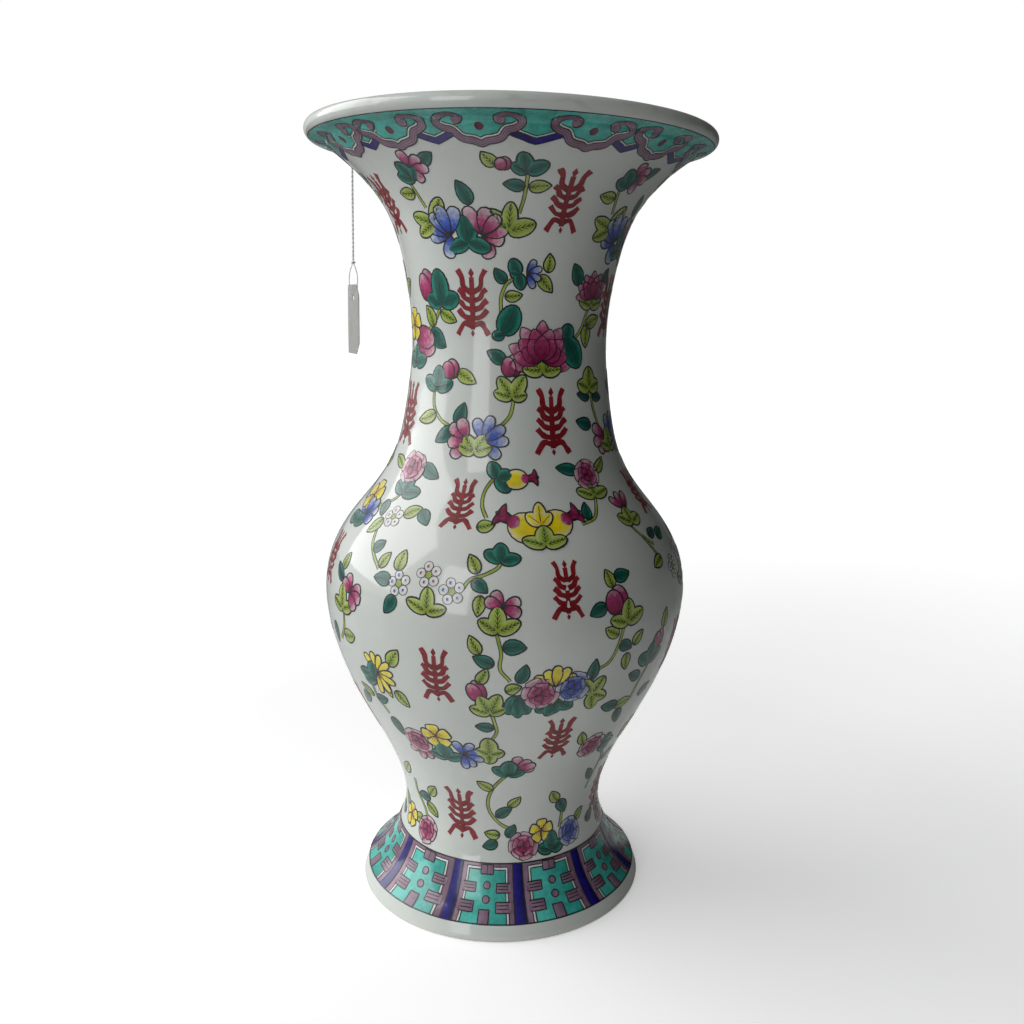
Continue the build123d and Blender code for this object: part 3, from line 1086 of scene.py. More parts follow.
shoulderSpray = (
    ("stem", [(-46, 256), (-49, 251), (-57, 246)]),
    ("leaf", "lime", -60.5, 270.5, 158, 15, 0.42),
    ("leaf", "green", -35, 268.5, -28, 15, 0.55),
    ("peony", "rose", -47, 269, 10),
    ("lobes", "green", -45.5, 255.5, [(150, 11.5, 7), (10, 12.5, 7.5), (85, 12, 9)]),
    ("leaf", "green", -51, 246.5, -72, 11, 0.66),
    ("dottedBlossom", "rose", -43, 243.5, 4.2),
    ("leaf", "lime", -35, 247.5, 32, 12, 0.66),
    ("leaf", "green", -29.3, 245.5, -48, 11.5, 0.66),
    ("leaf", "lime", -50, 237.5, 232, 13, 0.6),
    ("ringFlower", "yellow", -66, 250, 10.5),
    ("fan", "blue", -61, 241, [200, 160, 20, -20, 60, 110], 11, 7),
    ("lobes", "green", -66, 236, [(170, 12, 8), (10, 12, 8)]),
    ("stem", [(-74, 246), (-80, 256), (-82, 266)]),
    ("lobes", "lime", -82, 266, [(150, 10, 7), (30, 10, 7), (90, 11, 8)]),
    ("stem", [(-3.5, 268), (-7, 261), (-7.4, 254), (-5.2, 248)]),
    ("pomegranate", 6, 267, 6.2, 6),
    ("lobes", "green", -2, 268, [(120, 9.5, 7), (-55, 10, 7), (10, 8, 8)]),
    ("leaf", "lime", -5, 244.5, 15, 10, 0.75),
    ("pomegranate", 9, 243.5, 9.5, 150),
    ("pomegranate", 20, 245, 9.0, 22),
    ("lobes", "yellow", 14.5, 245, [(90, 13, 7), (140, 10, 7), (45, 9, 6), (95, 8, 8)], 9),
    ("lobes", "lime", 15, 235.5, [(165, 12.5, 7), (15, 12.5, 7), (90, 11, 10)], 14),
    ("stem", [(30, 244), (37, 247), (41.5, 257)]),
    ("leaf", "green", 34, 250, 82, 11, 0.55),
    ("peony", "rose", 41, 268, 9),
    ("lobes", "lime", 41, 257, [(160, 11.5, 6.5), (15, 11.5, 6.5), (88, 9, 9)]),
    ("leaf", "green", 30.5, 271.5, 168, 14, 0.5),
    ("leaf", "lime", 50.5, 272.5, 38, 13, 0.45),
    ("stem", [(52, 240), (55, 234), (60, 228)]),
    ("fan", "rose", 55, 248, [140, 100, 60], 12, 5),
    ("lobes", "lime", 54, 241, [(150, 11, 7), (20, 11, 7), (90, 10, 8)]),
    ("leaf", "green", 62, 234, 20, 10),
    ("leaf", "green", 84, 262, 60, 11),
)
upperBellySpray = (
    ("stem", [(-48, 237), (-45.5, 228), (-39, 218)]),
    ("leaf", "green", -42.5, 229.3, 40, 9.5, 0.75),
    ("leaf", "lime", -37.5, 223, 62, 10.5, 0.62),
    ("leaf", "lime", -31, 224.5, 82, 12, 0.66),
    ("leaf", "green", -36.5, 213.2, 178, 12.5, 0.62),
    ("dottedBlossom", "blue", -30, 213),
    ("dottedBlossom", "rose", -20.7, 219.5),
    ("dottedBlossom", "blue", -13, 212.5),
    ("leaf", "green", -32.5, 201.5, 240, 12, 0.66),
    ("lobes", "lime", -20, 201, [(158, 13, 6.5), (12, 11, 6), (92, 12.5, 8)]),
    ("stem", [(-10, 214), (-8, 219), (-4, 221.5), (0, 225.5), (1, 230)]),
    ("leaf", "lime", -7.6, 226.5, 116, 11.5),
    ("lobes", "green", 0.8, 228.5, [(152, 10, 6.5), (8, 10, 6.5), (95, 9.5, 8)]),
    ("leaf", "green", -5.2, 215.7, -35, 10.5, 0.66),
    ("leaf", "lime", -5, 206, -98, 11, 0.62),
    ("leaf", "green", -58, 210, 142, 14, 0.45),
    ("leaf", "lime", -56, 216.5, 72, 11, 0.62),
    ("fan", "rose", -50, 201, [112, 150, 20, -15, -62], 11.5, 7.5),
    ("lobes", "lime", -54, 190, [(160, 12, 7), (20, 11, 7), (95, 14, 9)]),
    ("stem", [(-53.5, 190), (-54, 180), (-58, 170)]),
    ("leaf", "lime", -51.5, 175, 10, 13, 0.66),
    ("leaf", "green", -62, 172, -95, 14, 0.5),
    ("stem", [(55, 234), (58, 226), (60, 220)]),
    ("leaf", "lime", 58, 219, 200, 12),
    ("leaf", "green", 68, 232, 20, 12),
    ("dottedBlossom", "blue", 68, 213),
    ("dottedBlossom", "rose", 77, 219.5),
    ("dottedBlossom", "blue", 85, 212.5),
    ("lobes", "lime", 77, 201, [(158, 12, 6.5), (12, 11, 6), (92, 12, 8)]),
    ("leaf", "green", 84, 228, 60, 11),
)
lowerBellySpray = (
    ("stem", [(0, 192), (1.3, 181), (1, 172), (4, 164.5)]),
    ("fan", "rose", 1.5, 206, [122, 160, 20, -22], 10, 6.5),
    ("lobes", "lime", 0.3, 193, [(150, 11.5, 7), (25, 12.5, 7.5), (92, 13, 9)]),
    ("leaf", "lime", -6, 185.5, 118, 11.5),
    ("leaf", "green", -3.6, 176.6, 158, 12, 0.62),
    ("leaf", "green", 5, 184, 0, 12.5, 0.7),
    ("leaf", "green", 7.3, 169, 70, 12),
    ("leaf", "lime", -4, 167.4, 62, 11),
    ("bud", "rose", -6, 158, 112, 13.5, 10),
    ("lobes", "lime", -2, 143.5, [(160, 11, 7), (25, 9, 6), (70, 14, 8), (115, 13, 8)]),
    ("leaf", "lime", 5, 159.5, 20, 9, 0.8),
    ("lobes", "green", 6, 155, [(-110, 13, 8), (-60, 14, 8.5), (-85, 15, 7)]),
    ("fan", "yellow", 17.5, 160, [150, 120, 30, 60, 90], 13, 6),
    ("peony", "rose", 13.2, 156, 10.5),
    ("peony", "blue", 23, 158.5, 10.5),
    ("lobes", "green", 18, 151, [(215, 12, 8), (-30, 12, 8), (-90, 9, 8), (250, 11, 8)]),
    ("lobes", "lime", 30, 152, [(60, 12, 8), (-20, 11, 7), (-75, 11, 8), (120, 12, 7)]),
    ("leaf", "green", 29, 167.5, 84, 13.5, 0.52),
    ("stem", [(30, 167), (34, 170.5), (36.3, 178), (38.5, 192)]),
    ("bud", "rose", 35.8, 205.5, 105, 15, 14.5),
    ("lobes", "lime", 39.5, 192, [(165, 12, 7), (25, 13, 8), (85, 13, 9)]),
    ("leaf", "green", 29.3, 201, 200, 11, 0.7),
    ("leaf", "green", 39, 218, 8, 11.5, 0.66),
    ("leaf", "lime", 34, 217, 108, 10.5, 0.66),
    ("leaf", "lime", 34, 188.5, 152, 10.5, 0.66),
    ("leaf", "green", 39.5, 178, -20, 10, 0.7),
    ("leaf", "lime", 41, 168.5, -82, 11, 0.6),
    ("leaf", "lime", 44.5, 181.5, 48, 10, 0.66),
    ("fan", "yellow", -40, 158, [125, 95, 70, 40, 10, -20, -60, -95], 13, 4.6),
    ("lobes", "green", -42.5, 153, [(165, 12, 8), (80, 12, 9), (200, 10, 7)]),
    ("leaf", "lime", -32, 171, 52, 14),
    ("bud", "rose", 56, 175, 90, 12, 11),
    ("lobes", "green", 53, 163, [(155, 12, 8), (25, 12, 8), (85, 12, 9)]),
    ("leaf", "lime", 58.5, 187, 78, 12),
    ("leaf", "green", 47, 156, 150, 12),
    ("stem", [(54, 163), (51, 150), (50, 140)]),
    ("leaf", "lime", 84, 190, 110, 12),
    ("leaf", "green", 86, 175, 20, 12),
)
skirtSpray = (
    ("stem", [(-1.8, 124.5), (0, 131), (-1.5, 143)]),
    ("leaf", "green", -4, 133.5, 172, 10, 0.7),
    ("ringFlower", "yellow", -22.5, 122.5, 9.5, 5, 100.0),
    ("fan", "rose", -32, 112, [-62, -100, 215], 12, 5.5),
    ("peony", "rose", -32, 115.5, 9.5),
    ("fan", "blue", -13, 111.5, [62, 110, 20, -20, -62, -92], 12, 5.5),
    ("lobes", "green", -21, 106.5, [(160, 11, 7), (20, 11.5, 7), (92, 13, 10)]),
    ("lobes", "lime", -2.8, 113, [(-95, 8, 8), (18, 8, 8), (150, 8, 8), (92, 14, 9)]),
    ("stem", [(-45, 150), (-45, 140), (-42, 130)]),
    ("leaf", "green", -40, 122, -82, 14, 0.55),
    ("leaf", "green", -42.5, 140, 15, 11, 0.6),
    ("leaf", "lime", -50, 142.5, 155, 12, 0.5),
    ("leaf", "green", -54, 135, 228, 14, 0.5),
    ("leaf", "yellow", -37, 150, -80, 14, 0.42),
    ("leaf", "lime", -31.7, 145, -58, 12, 0.66),
    ("leaf", "lime", 33.2, 119.5, 112, 12, 0.5),
    ("peony", "rose", 40, 111, 9.5),
    ("lobes", "green", 47, 107, [(20, 10, 7), (70, 10, 7), (-30, 9, 7)]),
    ("stem", [(49, 104), (54, 96), (55, 86), (53, 72)]),
    ("leaf", "green", 39.5, 139.8, 168, 13, 0.6),
    ("leaf", "lime", 46.5, 139, 10, 13, 0.6),
    ("leaf", "green", 46.5, 130, -66, 14, 0.5),
    ("leaf", "lime", 60, 95, 30, 12, 0.5),
    ("ringFlower", "yellow", 67, 110, 8.5),
    ("fan", "blue", 77, 108, [62, 110, 20, -20, -62], 12, 5.5),
    ("leaf", "green", 58, 142, 30, 12),
)
footSpray = (
    ("stem", [(4, 96.5), (-2, 86.5), (-5, 76), (-4, 67.5), (1, 60), (7, 56)]),
    ("fan", "rose", 8, 101, [90, 50, 0, 20], 11, 6),
    ("lobes", "green", 5, 96.5, [(142, 11, 7), (30, 10, 7.5), (92, 12.5, 9)]),
    ("leaf", "lime", -6, 87.5, 142, 11),
    ("leaf", "green", 3.3, 68, 38, 11.5, 0.6),
    ("leaf", "lime", 8.2, 75.5, 48, 10, 0.6),
    ("leaf", "lime", -3, 53, 172, 9, 0.66),
    ("leaf", "green", 7, 55, 60, 9, 0.66),
    ("leaf", "green", -4, 46.5, 200, 9, 0.66),
    ("peony", "rose", 14, 45.5, 8.8),
    ("ringFlower", "yellow", 24.5, 53, 7.5),
    ("peony", "blue", 43, 47.5, 8.5),
    ("lobes", "green", 30, 40.5, [(165, 9, 6), (15, 9, 6), (90, 11, 9)]),
    ("leaf", "lime", 51, 56, 40, 9, 0.66),
    ("leaf", "green", 36, 66.5, -58, 12),
    ("leaf", "lime", 30.3, 75.5, 122, 11),
    ("leaf", "green", 50, 84.5, 125, 12.5, 0.45),
    ("stem", [(36, 70), (37, 60), (36, 52)]),
    ("leaf", "green", -45, 68, 190, 11, 0.6),
    ("leaf", "lime", -37, 75, 52, 11, 0.6),
    ("leaf", "lime", -40, 60, -40, 11, 0.6),
    ("leaf", "lime", -53, 50, 200, 10, 0.6),
    ("leaf", "lime", -69, 55, 120, 10, 0.6),
    ("leaf", "lime", -54, 85, 45, 16, 0.42),
    ("stem", [(-50, 78), (-51, 68), (-46, 58), (-44, 50)]),
    ("ringFlower", "yellow", -61, 48, 7.5),
    ("peony", "rose", -44, 46, 8.5),
    ("peony", "rose", 78, 46, 8.5),
    ("leaf", "green", 62, 50, 20, 10),
    ("leaf", "lime", 84, 60, 60, 10),
    ("leaf", "green", -76, 46, 150, 10),
)
sideSpray = (
    ("stem", [(-84, 99), (-81, 108), (-84, 120), (-88, 132), (-87, 146), (-82.5, 158)]),
    ("fan", "rose", -82, 165, [90, 130, 50, 165, 15], 11, 6),
    ("lobes", "lime", -82, 159.5, [(150, 11, 8), (30, 11, 8), (90, 11, 9)]),
    ("leaf", "green", -88, 149, 150, 12, 0.6),
    ("leaf", "lime", -85, 139, 25, 12, 0.5),
    ("leaf", "green", -81, 121, 10, 12, 0.55),
    ("leaf", "lime", -86, 111, 190, 11, 0.6),
    ("ringFlower", "blue", -84, 90, 8.5, 5, 90.0),
    ("leaf", "green", -90, 84, 215, 10, 0.6),
    ("leaf", "green", -78, 84, -30, 10, 0.6),
)
painters = {
    "stem": stem,
    "leaf": leaf,
    "lobes": lobes,
    "fan": fan,
    "bud": bud,
    "peony": peony,
    "lotus": lotus,
    "ringFlower": ringFlower,
    "dottedBlossom": dottedBlossom,
    "pomegranate": pomegranate,
}
sprays = (
    mouthSpray, stoutSpray, collarSpray, shoulderSpray, upperBellySpray,
    lowerBellySpray, sideSpray, skirtSpray, footSpray,
)
for spray in sprays:
    for kind, *details in spray:
        painters[kind](*details)
# the mouth's spray comes four times round, the others twice
for kind, *details in mouthSpray:
    if kind == "stem":
        stem([(angle + 90 if angle < 0 else angle - 90, height) for angle, height in details[0]])
    else:
        moved = details[1] + 90 if details[1] < 0 else details[1] - 90
        painters[kind](details[0], moved, *details[2:])
print("sprays drawn")

# border under the lip: lappets with curled horns, and cobalt chevrons between them
lappet = {
    "height": 452.0,
    "fillTop": 451.99,
    "reach": 12.2,  # half of its width in degrees
    "band": 4.4,
    "white": 1.2,
    "dot": 2.7,
    "curl": 2.3,  # radius of a horn's round end
    "curlPlace": (6.1, 448.2),
}


def flatPoint(angle, height, origin):
    # millimetres from (0, origin) on the flat sheet, from an angle and a height
    radius = np.interp(origin * mm, wallHeights, wallRadii)
    return (math.radians(angle) * radius / mm, (runAt(height * mm) - runAt(origin * mm)) / mm)


def borderPoint(angle, height):
    return flatPoint(angle, height, lappet["height"])


borderSpot = (0.0, lappet["height"])
hornHalf = [
    (6.6, 447.9), (5.3, 448.6), (5.4, 449.7), (7.4, 450.4), (10.0, 450.1), (11.6, 448.4), (11.2, 446.4),
    (9.4, 445.2), (7.9, 444.6), (7.0, 443.2), (6.0, 441.6), (4.2, 440.7), (2.0, 440.2), (0.0, 439.2),
]
horn = np.array([borderPoint(-a, h) for a, h in hornHalf] + [borderPoint(a, h) for a, h in hornHalf[-2::-1]])
hornLine = smoothed(horn, 4)


def offsetLine(line, distance):
    return line + besideOf(line) * distance


def fillUp(angles, lows, rows):
    # places from a lower edge up to the black line under the lip
    top = lappet["fillTop"]
    return np.array([
        [borderPoint(a, low + (top - low) * share) for share in np.linspace(0, 1, rows)]
        for a, low in zip(angles, lows)
    ])[::-1, ::-1]


# a lappet: turquoise field, mauve band with its outlines and streaks, curled ends, white line, dot
fieldEdge = [
    (0, 439.4), (2.0, 440.4), (4.2, 440.9), (6.0, 441.8),
    (7.0, 443.4), (9.4, 445.2), (11.2, 446.4), (12.2, 449.0),
]
fieldAngles = np.linspace(-lappet["reach"], lappet["reach"], 33)
fieldLow = np.interp(np.abs(fieldAngles), *np.transpose(fieldEdge))
addSheet("lappets", "turquoise", borderSpot, fillUp(fieldAngles, fieldLow, 19), 2, crown=0.02)
addBand("lappets", "mauve", borderSpot, hornLine, lappet["band"], 5.5)
for side in (1, -1):
    edge = offsetLine(hornLine, side * lappet["band"] / 2)
    addLine("lappets", "borderInk", borderSpot, edge, 0.7, 6.5)
for side, arc in ((1, (-80, 120)), (-1, (240, 360))):
    end = np.array(borderPoint(side * lappet["curlPlace"][0], lappet["curlPlace"][1]))
    angles = np.radians(np.arange(*arc, 20))
    curl = end + lappet["curl"] * np.stack([np.cos(angles), np.sin(angles)], 1)
    addDisc("lappets", "mauve", borderSpot, end, lappet["curl"], 7)
    addLine("lappets", "borderInk", borderSpot, curl, 0.5, 8)
inner = offsetLine(hornLine, lappet["band"] / 2 + lappet["white"] / 2 + 0.2)[21:-21]
addLine("lappets", "white", borderSpot, inner, lappet["white"], 5)
addLine("lappets", "borderInk", borderSpot, offsetLine(inner, lappet["white"] / 2 + 0.15), 0.6, 5.6)
addDisc("lappets", "maroon", borderSpot, np.array(borderPoint(0, 446.0)), lappet["dot"], 4)
for side in (1, -1):
    streak = offsetLine(hornLine, side * lappet["band"] * 0.16)[6:-6]
    addLine("lappets", "maroon", borderSpot, streak, 0.18, 6.3)

# a chevron between two lappets: turquoise down to a white line and a cobalt band
chevron = {"reach": 8.5, "low": 439.3, "rise": 4.2, "cobalt": 1.1, "white": 2.9}
chevronAngles = np.linspace(-chevron["reach"], chevron["reach"], 21)
chevronLow = chevron["low"] + chevron["rise"] * np.abs(chevronAngles / chevron["reach"]) ** 1.1
cobaltLine, whiteLine = (
    np.array([borderPoint(a, low + chevron[band]) for a, low in zip(chevronAngles, chevronLow)])
    for band in ("cobalt", "white")
)
fill = fillUp(chevronAngles, chevronLow + chevron["white"], 16)
addSheet("chevrons", "turquoise", borderSpot, fill, 1, crown=0.02)
addBand("chevrons", "cobalt", borderSpot, cobaltLine, 4.0, 1.2)
addLine("chevrons", "white", borderSpot, whiteLine, 1.2, 2)
addLine("chevrons", "borderInk", borderSpot, offsetLine(cobaltLine, -2.0), 0.5, 2.2)
for distance in (-0.65, 0.65):
    addLine("chevrons", "borderInk", borderSpot, offsetLine(whiteLine, distance), 0.55, 2.4)

# border round the foot: cobalt bars, and turquoise panels with striped tabs
panel = {
    "low": 9.0,
    "high": 36.0,
    "spot": 22.0,
    "pitch": 33.0,  # degrees from bar to bar, before each panel is stretched to its own gap
    "inset": 6.4,  # from a bar's middle to the turquoise
    "tabs": (13.2, 21.6),
    "tab": 4.4,
}
panelSpot = (0.0, panel["spot"])


def panelPoint(angle, height):
    return flatPoint(angle, height, panel["spot"])


def block(group, colour, left, right, low, high, level, outline=0.7):
    # a patch between two angles and two heights, inked round its edge
    columns = int((right - left) * 1.3 / 2.0) + 3
    rows = int((high - low) * 1.25 / 1.4) + 3
    shape = np.array([
        [panelPoint(a, h) for h in np.linspace(high, low, rows)]
        for a in np.linspace(left, right, columns)
    ])
    addSheet(group, colour, panelSpot, shape[::-1, ::-1], level, crown=0.03)
    if outline:
        edge = np.concatenate([shape[:-1, 0], shape[-1, :-1], shape[:0:-1, -1], shape[0, :0:-1]])
        addLine(group, "borderInk", panelSpot, edge, outline, level + 0.6, closed=True)


def panelLine(colour, places, width, level):
    # a straight-sided line through (angle, height) places of a panel
    line = np.array([panelPoint(a, h) for a, h in places])
    dense = [np.linspace(a, b, int(np.linalg.norm(b - a) / 1.2) + 2)[:-1] for a, b in zip(line, line[1:])]
    dense = np.concatenate(dense + [line[-1:]])
    addLine("panels", colour, panelSpot, dense, width, level)


half = panel["pitch"] / 2
inset = panel["inset"]
block("panels", "mauve", -half, half, panel["low"], panel["high"], 0, outline=0)
block("panels", "turquoise", -half + inset, half - inset, panel["low"], 32.6, 1.5, outline=0)
for side in (-1, 1):
    corners = [(half - 5.7, 9.2), (half - 5.8, 20.0), (half - 6.0, 33.4), (3.4, 33.4)]
    frameLine = [(side * a, h) for a, h in corners]
    panelLine("white", frameLine, 1.3, 2.4)
    for shift in (-0.6, 0.6):
        panelLine("borderInk", [(a - side * shift, h - shift * 1.2 * (h > 30)) for a, h in frameLine], 0.6, 3)
    near, far = sorted((side * (half - 4.6), side * (half - 11.2)))
    tabEnd = side * (half - 4.4)
    for low in panel["tabs"]:
        block("panels", "mauve", near, far, low, low + panel["tab"], 4)
        panelLine("mauve", [(tabEnd, low + 0.3), (tabEnd, low + panel["tab"] - 0.3)], 1.3, 5.4)
        for share in (0.36, 0.68):
            stripe = [(a, low + panel["tab"] * share) for a in (near + 0.6, (near + far) / 2, far - 0.6)]
            panelLine("borderInk", stripe, 0.55, 5.6)
block("panels", "mauve", -3.4, 3.4, 30.4, 35.2, 4)
panelLine("borderInk", [(0, 31.0), (0, 33.0), (0, 35.0)], 0.5, 5.6)
block("panels", "mauve", -2.3, 2.3, 9.2, 14.4, 4)
for height in (18.6, 25.0):
    at = np.array(panelPoint(0.3, height))
    addDisc("panels", "mauve", panelSpot, at, 2.1, 4)
    addLine("panels", "borderInk", panelSpot, at + circleOf(2.15, 18), 0.65, 4.8, closed=True)
block("bars", "cobalt", -2.4, 2.4, panel["low"], panel["high"], 6)


def encircle(height, width):
    # a line right round the vase, in one closed ribbon
    angles = np.linspace(0, 360, 180, endpoint=False)
    radius = np.interp(height * mm, wallHeights, wallRadii)
    line = np.stack([np.radians(angles) * radius / mm, np.zeros(180)], 1)
    left, right = (laid((0.0, height), line + (0, side * width / 2)) for side in (1, -1))
    addRibbon("rings", "borderInk", left, right, enamel["lift"] + 5 * enamel["layer"], True, 0.0)


encircle(451.9, 0.9)
encircle(36.0, 0.8)
encircle(9.3, 0.7)
print("borders drawn")

# where each group comes round the vase: (angle, stretch)
lappetAngles = (-59, -34.5, -7, 25, 51, 82, 113, 144, 175, 206, 237, 269)
barAngles = (-92, -56, -20, 10.5, 44, 77, 110, 143, 176, 209, 241)


def gaps(angles):
    # the middle and the width of each gap between neighbours round the vase
    following = (*angles[1:], angles[0] + 360)
    return [((a + b) / 2, b - a) for a, b in zip(angles, following)]


places = {
    "sprays": [(0, 1), (180, 1)],
    "lappets": [(angle, 1) for angle in lappetAngles],
    "chevrons": [(angle, max(0.8, gap / 30)) for angle, gap in gaps(lappetAngles)],
    "panels": [(angle, gap / panel["pitch"]) for angle, gap in gaps(barAngles)],
    "bars": [(angle, 1) for angle in barAngles],
    "rings": [(0, 1)],
}

# lays a flat group at each of its places round the vase and wraps it on the wall
wrapTree = newTree("wrapOnWall", [
    ("Spots", "Object"),
    ("Outline", "Object"),
    ("Unit", "Float"),
    ("Hand", "Float"),
    ("Material", "Material"),
])


def fillWrapTree(tree):
    source = tree.nodes.new("NodeGroupInput").outputs
    spots = addNode(tree, "GeometryNodeObjectInfo", {"Object": source["Spots"]}).outputs["Geometry"]
    outline = addNode(tree, "GeometryNodeObjectInfo", {"Object": source["Outline"]}).outputs["Geometry"]
    stretch = addNode(tree, "GeometryNodeInputNamedAttribute", {"Name": "stretch"}, data_type="FLOAT_VECTOR")
    instances = addNode(tree, "GeometryNodeInstanceOnPoints", {
        "Points": spots,
        "Instance": source["Geometry"],
        "Scale": stretch.outputs[0],
    })
    flat = addNode(tree, "GeometryNodeRealizeInstances", {0: instances.outputs[0]})
    parts = vectorParts(tree, tree.nodes.new("GeometryNodeInputPosition").outputs[0])
    rough, rise = (mathNode(tree, "DIVIDE", parts[i], source["Unit"]) for i in (0, 1))
    around = vectorOf(tree, mathNode(tree, "COSINE", rough), mathNode(tree, "SINE", rough), rise)
    noise = addNode(tree, "ShaderNodeTexNoise", {"Vector": around, "Scale": 22.0, "Detail": 2.0})
    sway = vectorParts(tree, noise.outputs["Color"])
    drift = [times(tree, mathNode(tree, "SUBTRACT", sway[i], 0.5), source["Hand"]) for i in (0, 1)]
    angle = mathNode(tree, "DIVIDE", mathNode(tree, "ADD", parts[0], drift[0]), source["Unit"])
    run = mathNode(tree, "ADD", parts[1], drift[1])
    sample = addNode(tree, "GeometryNodeSampleCurve", {"Curves": outline, "Length": run}, mode="LENGTH")
    onLine = vectorParts(tree, sample.outputs["Position"])
    way = vectorParts(tree, sample.outputs["Tangent"])
    radius = mathNode(tree, "ADD", onLine[0], times(tree, way[2], parts[2]))
    height = mathNode(tree, "SUBTRACT", onLine[2], times(tree, way[0], parts[2]))
    toFront = times(tree, times(tree, radius, mathNode(tree, "COSINE", angle)), -1)
    wrapped = vectorOf(tree, times(tree, radius, mathNode(tree, "SINE", angle)), toFront, height)
    moved = addNode(tree, "GeometryNodeSetPosition", {0: flat.outputs[0], "Position": wrapped}).outputs[0]
    finishTree(tree, moved, source["Material"])


fillWrapTree(wrapTree)


def spotsObject(group):
    points = [(math.radians(a) * enamel["unit"], 0, 0) for a, _ in places[group]]
    mesh = meshFrom(group + "Spots", points, [])
    stretch = mesh.attributes.new("stretch", "FLOAT_VECTOR", "POINT")
    for item, (_, wide) in zip(stretch.data, places[group]):
        item.vector = (wide, 1, 1)
    return addObject(group + "Spots", mesh)


def flatObject(colour, group):
    kept = strokes[colour, group]
    points = np.concatenate(kept["points"])
    mesh = meshFrom(colour + group, points, kept["faces"])
    corners = np.zeros(len(mesh.loops), int)
    mesh.loops.foreach_get("vertex_index", corners)
    layer = mesh.uv_layers.new(name="stroke")
    layer.data.foreach_set("uv", np.concatenate(kept["uv"])[corners].astype(np.float32).ravel())
    wash = mesh.attributes.new("wash", "FLOAT", "POINT")
    wash.data.foreach_set("value", np.concatenate(kept["wash"]).astype(np.float32))
    return addObject(colour + group, mesh)


# enamel finishes: along a stroke from its base (0) to its tip (1)
def enamelFinish(name, stops, roughness, rim, streaks):
    material, tree, shader = newFinish(name, roughness, IOR=1.55, Coat_Weight=0.25, Coat_Roughness=0.05)
    place = vectorParts(tree, addNode(tree, "ShaderNodeUVMap", uv_map="stroke").outputs[0])
    wash = addNode(tree, "ShaderNodeAttribute", attribute_name="wash").outputs["Fac"]
    brush = mathNode(tree, "SUBTRACT", noiseOf(tree, 420, 4), 0.5)
    along = mathNode(tree, "ADD", place[0], times(tree, brush, streaks))
    along = mathNode(tree, "ADD", along, times(tree, wash, 0.06))
    colour = ramp(tree, along, stops)
    if rim:
        side = mathNode(tree, "ABSOLUTE", mathNode(tree, "SUBTRACT", place[1], 0.5))
        side = mathNode(tree, "ADD", side, times(tree, brush, 0.22))
        colour = mixed(tree, between(tree, side, 0.24, 0.46, 0, 0.85), colour, rim)
    pool = between(tree, noiseOf(tree, 150, 3), 0.35, 0.65, 0.86, 1.1)
    tone = addNode(tree, "ShaderNodeCombineColor", {0: pool, 1: pool, 2: pool}).outputs[0]
    tree.links.new(mixed(tree, 1.0, colour, tone, "MULTIPLY"), shader.inputs["Base Color"])
    gloss = between(tree, noiseOf(tree, 200, 4), 0.3, 0.7, roughness * 0.7, roughness * 1.5)
    tree.links.new(gloss, shader.inputs["Roughness"])
    bumped(tree, shader, noiseOf(tree, 500, 4), 0.08 * mm, 0.6)
    return material


enamelLooks = {
    # each with its material's name and its tones from a stroke's base to its tip
    "green": ("greenEnamel", [(0.0, (0.003, 0.055, 0.042)), (1.0, (0.008, 0.14, 0.105))]),
    "lime": ("limeEnamel", [(0.0, (0.24, 0.33, 0.025)), (1.0, (0.40, 0.50, 0.09))]),
    "veins": ("veinEnamel", [(0.0, (0.025, 0.075, 0.01)), (1.0, (0.045, 0.11, 0.015))]),
    "rose": ("roseEnamel", [
        (0.1, (0.20, 0.003, 0.05)), (0.5, (0.43, 0.05, 0.17)), (0.95, (0.70, 0.60, 0.63)),
    ]),
    "blue": ("blueEnamel", [
        (0.08, (0.006, 0.016, 0.30)), (0.5, (0.06, 0.115, 0.47)), (0.95, (0.62, 0.67, 0.72)),
    ]),
    "yellow": ("yellowEnamel", [
        (0.0, (0.72, 0.42, 0.002)), (0.5, (0.80, 0.64, 0.008)), (1.0, (0.78, 0.72, 0.16)),
    ]),
    "turquoise": ("turquoiseEnamel", [(0.1, (0.030, 0.36, 0.31)), (0.9, (0.085, 0.53, 0.46))]),
    "mauve": ("mauveEnamel", [(0.0, (0.20, 0.115, 0.18)), (1.0, (0.30, 0.19, 0.27))]),
    "cobalt": ("cobaltEnamel", [(0.0, (0.004, 0.002, 0.09)), (1.0, (0.014, 0.009, 0.24))]),
    "ironRed": ("ironRedEnamel", [(0.0, (0.19, 0.004, 0.010)), (1.0, (0.27, 0.012, 0.020))]),
    "maroon": ("maroonEnamel", [(0.0, (0.075, 0.004, 0.02)), (1.0, (0.12, 0.010, 0.04))]),
    "white": ("whiteEnamel", [(0.0, (0.66, 0.69, 0.66)), (1.0, (0.70, 0.70, 0.68))]),
    "ink": ("outlineEnamel", [(0.0, (0.010, 0.009, 0.010)), (1.0, (0.022, 0.018, 0.020))]),
}
enamelRims = {"green": (0.02, 0.28, 0.21), "lime": (0.46, 0.55, 0.20), "yellow": (0.76, 0.72, 0.42)}
enamelStreaks = {"turquoise": 1.2, "mauve": 1.0, "cobalt": 1.4}
mattEnamels = ("ironRed", "ink")
finishes = {}
for colour, (name, tones) in enamelLooks.items():
    roughness = 0.3 if colour in mattEnamels else 0.14
    rim, streaks = enamelRims.get(colour), enamelStreaks.get(colour, 0.5)
    finishes[colour] = enamelFinish(name, tones, roughness, rim, streaks)
finishes["borderInk"] = finishes["leafInk"] = finishes["ink"]
spotObjects = {group: spotsObject(group) for group in places}
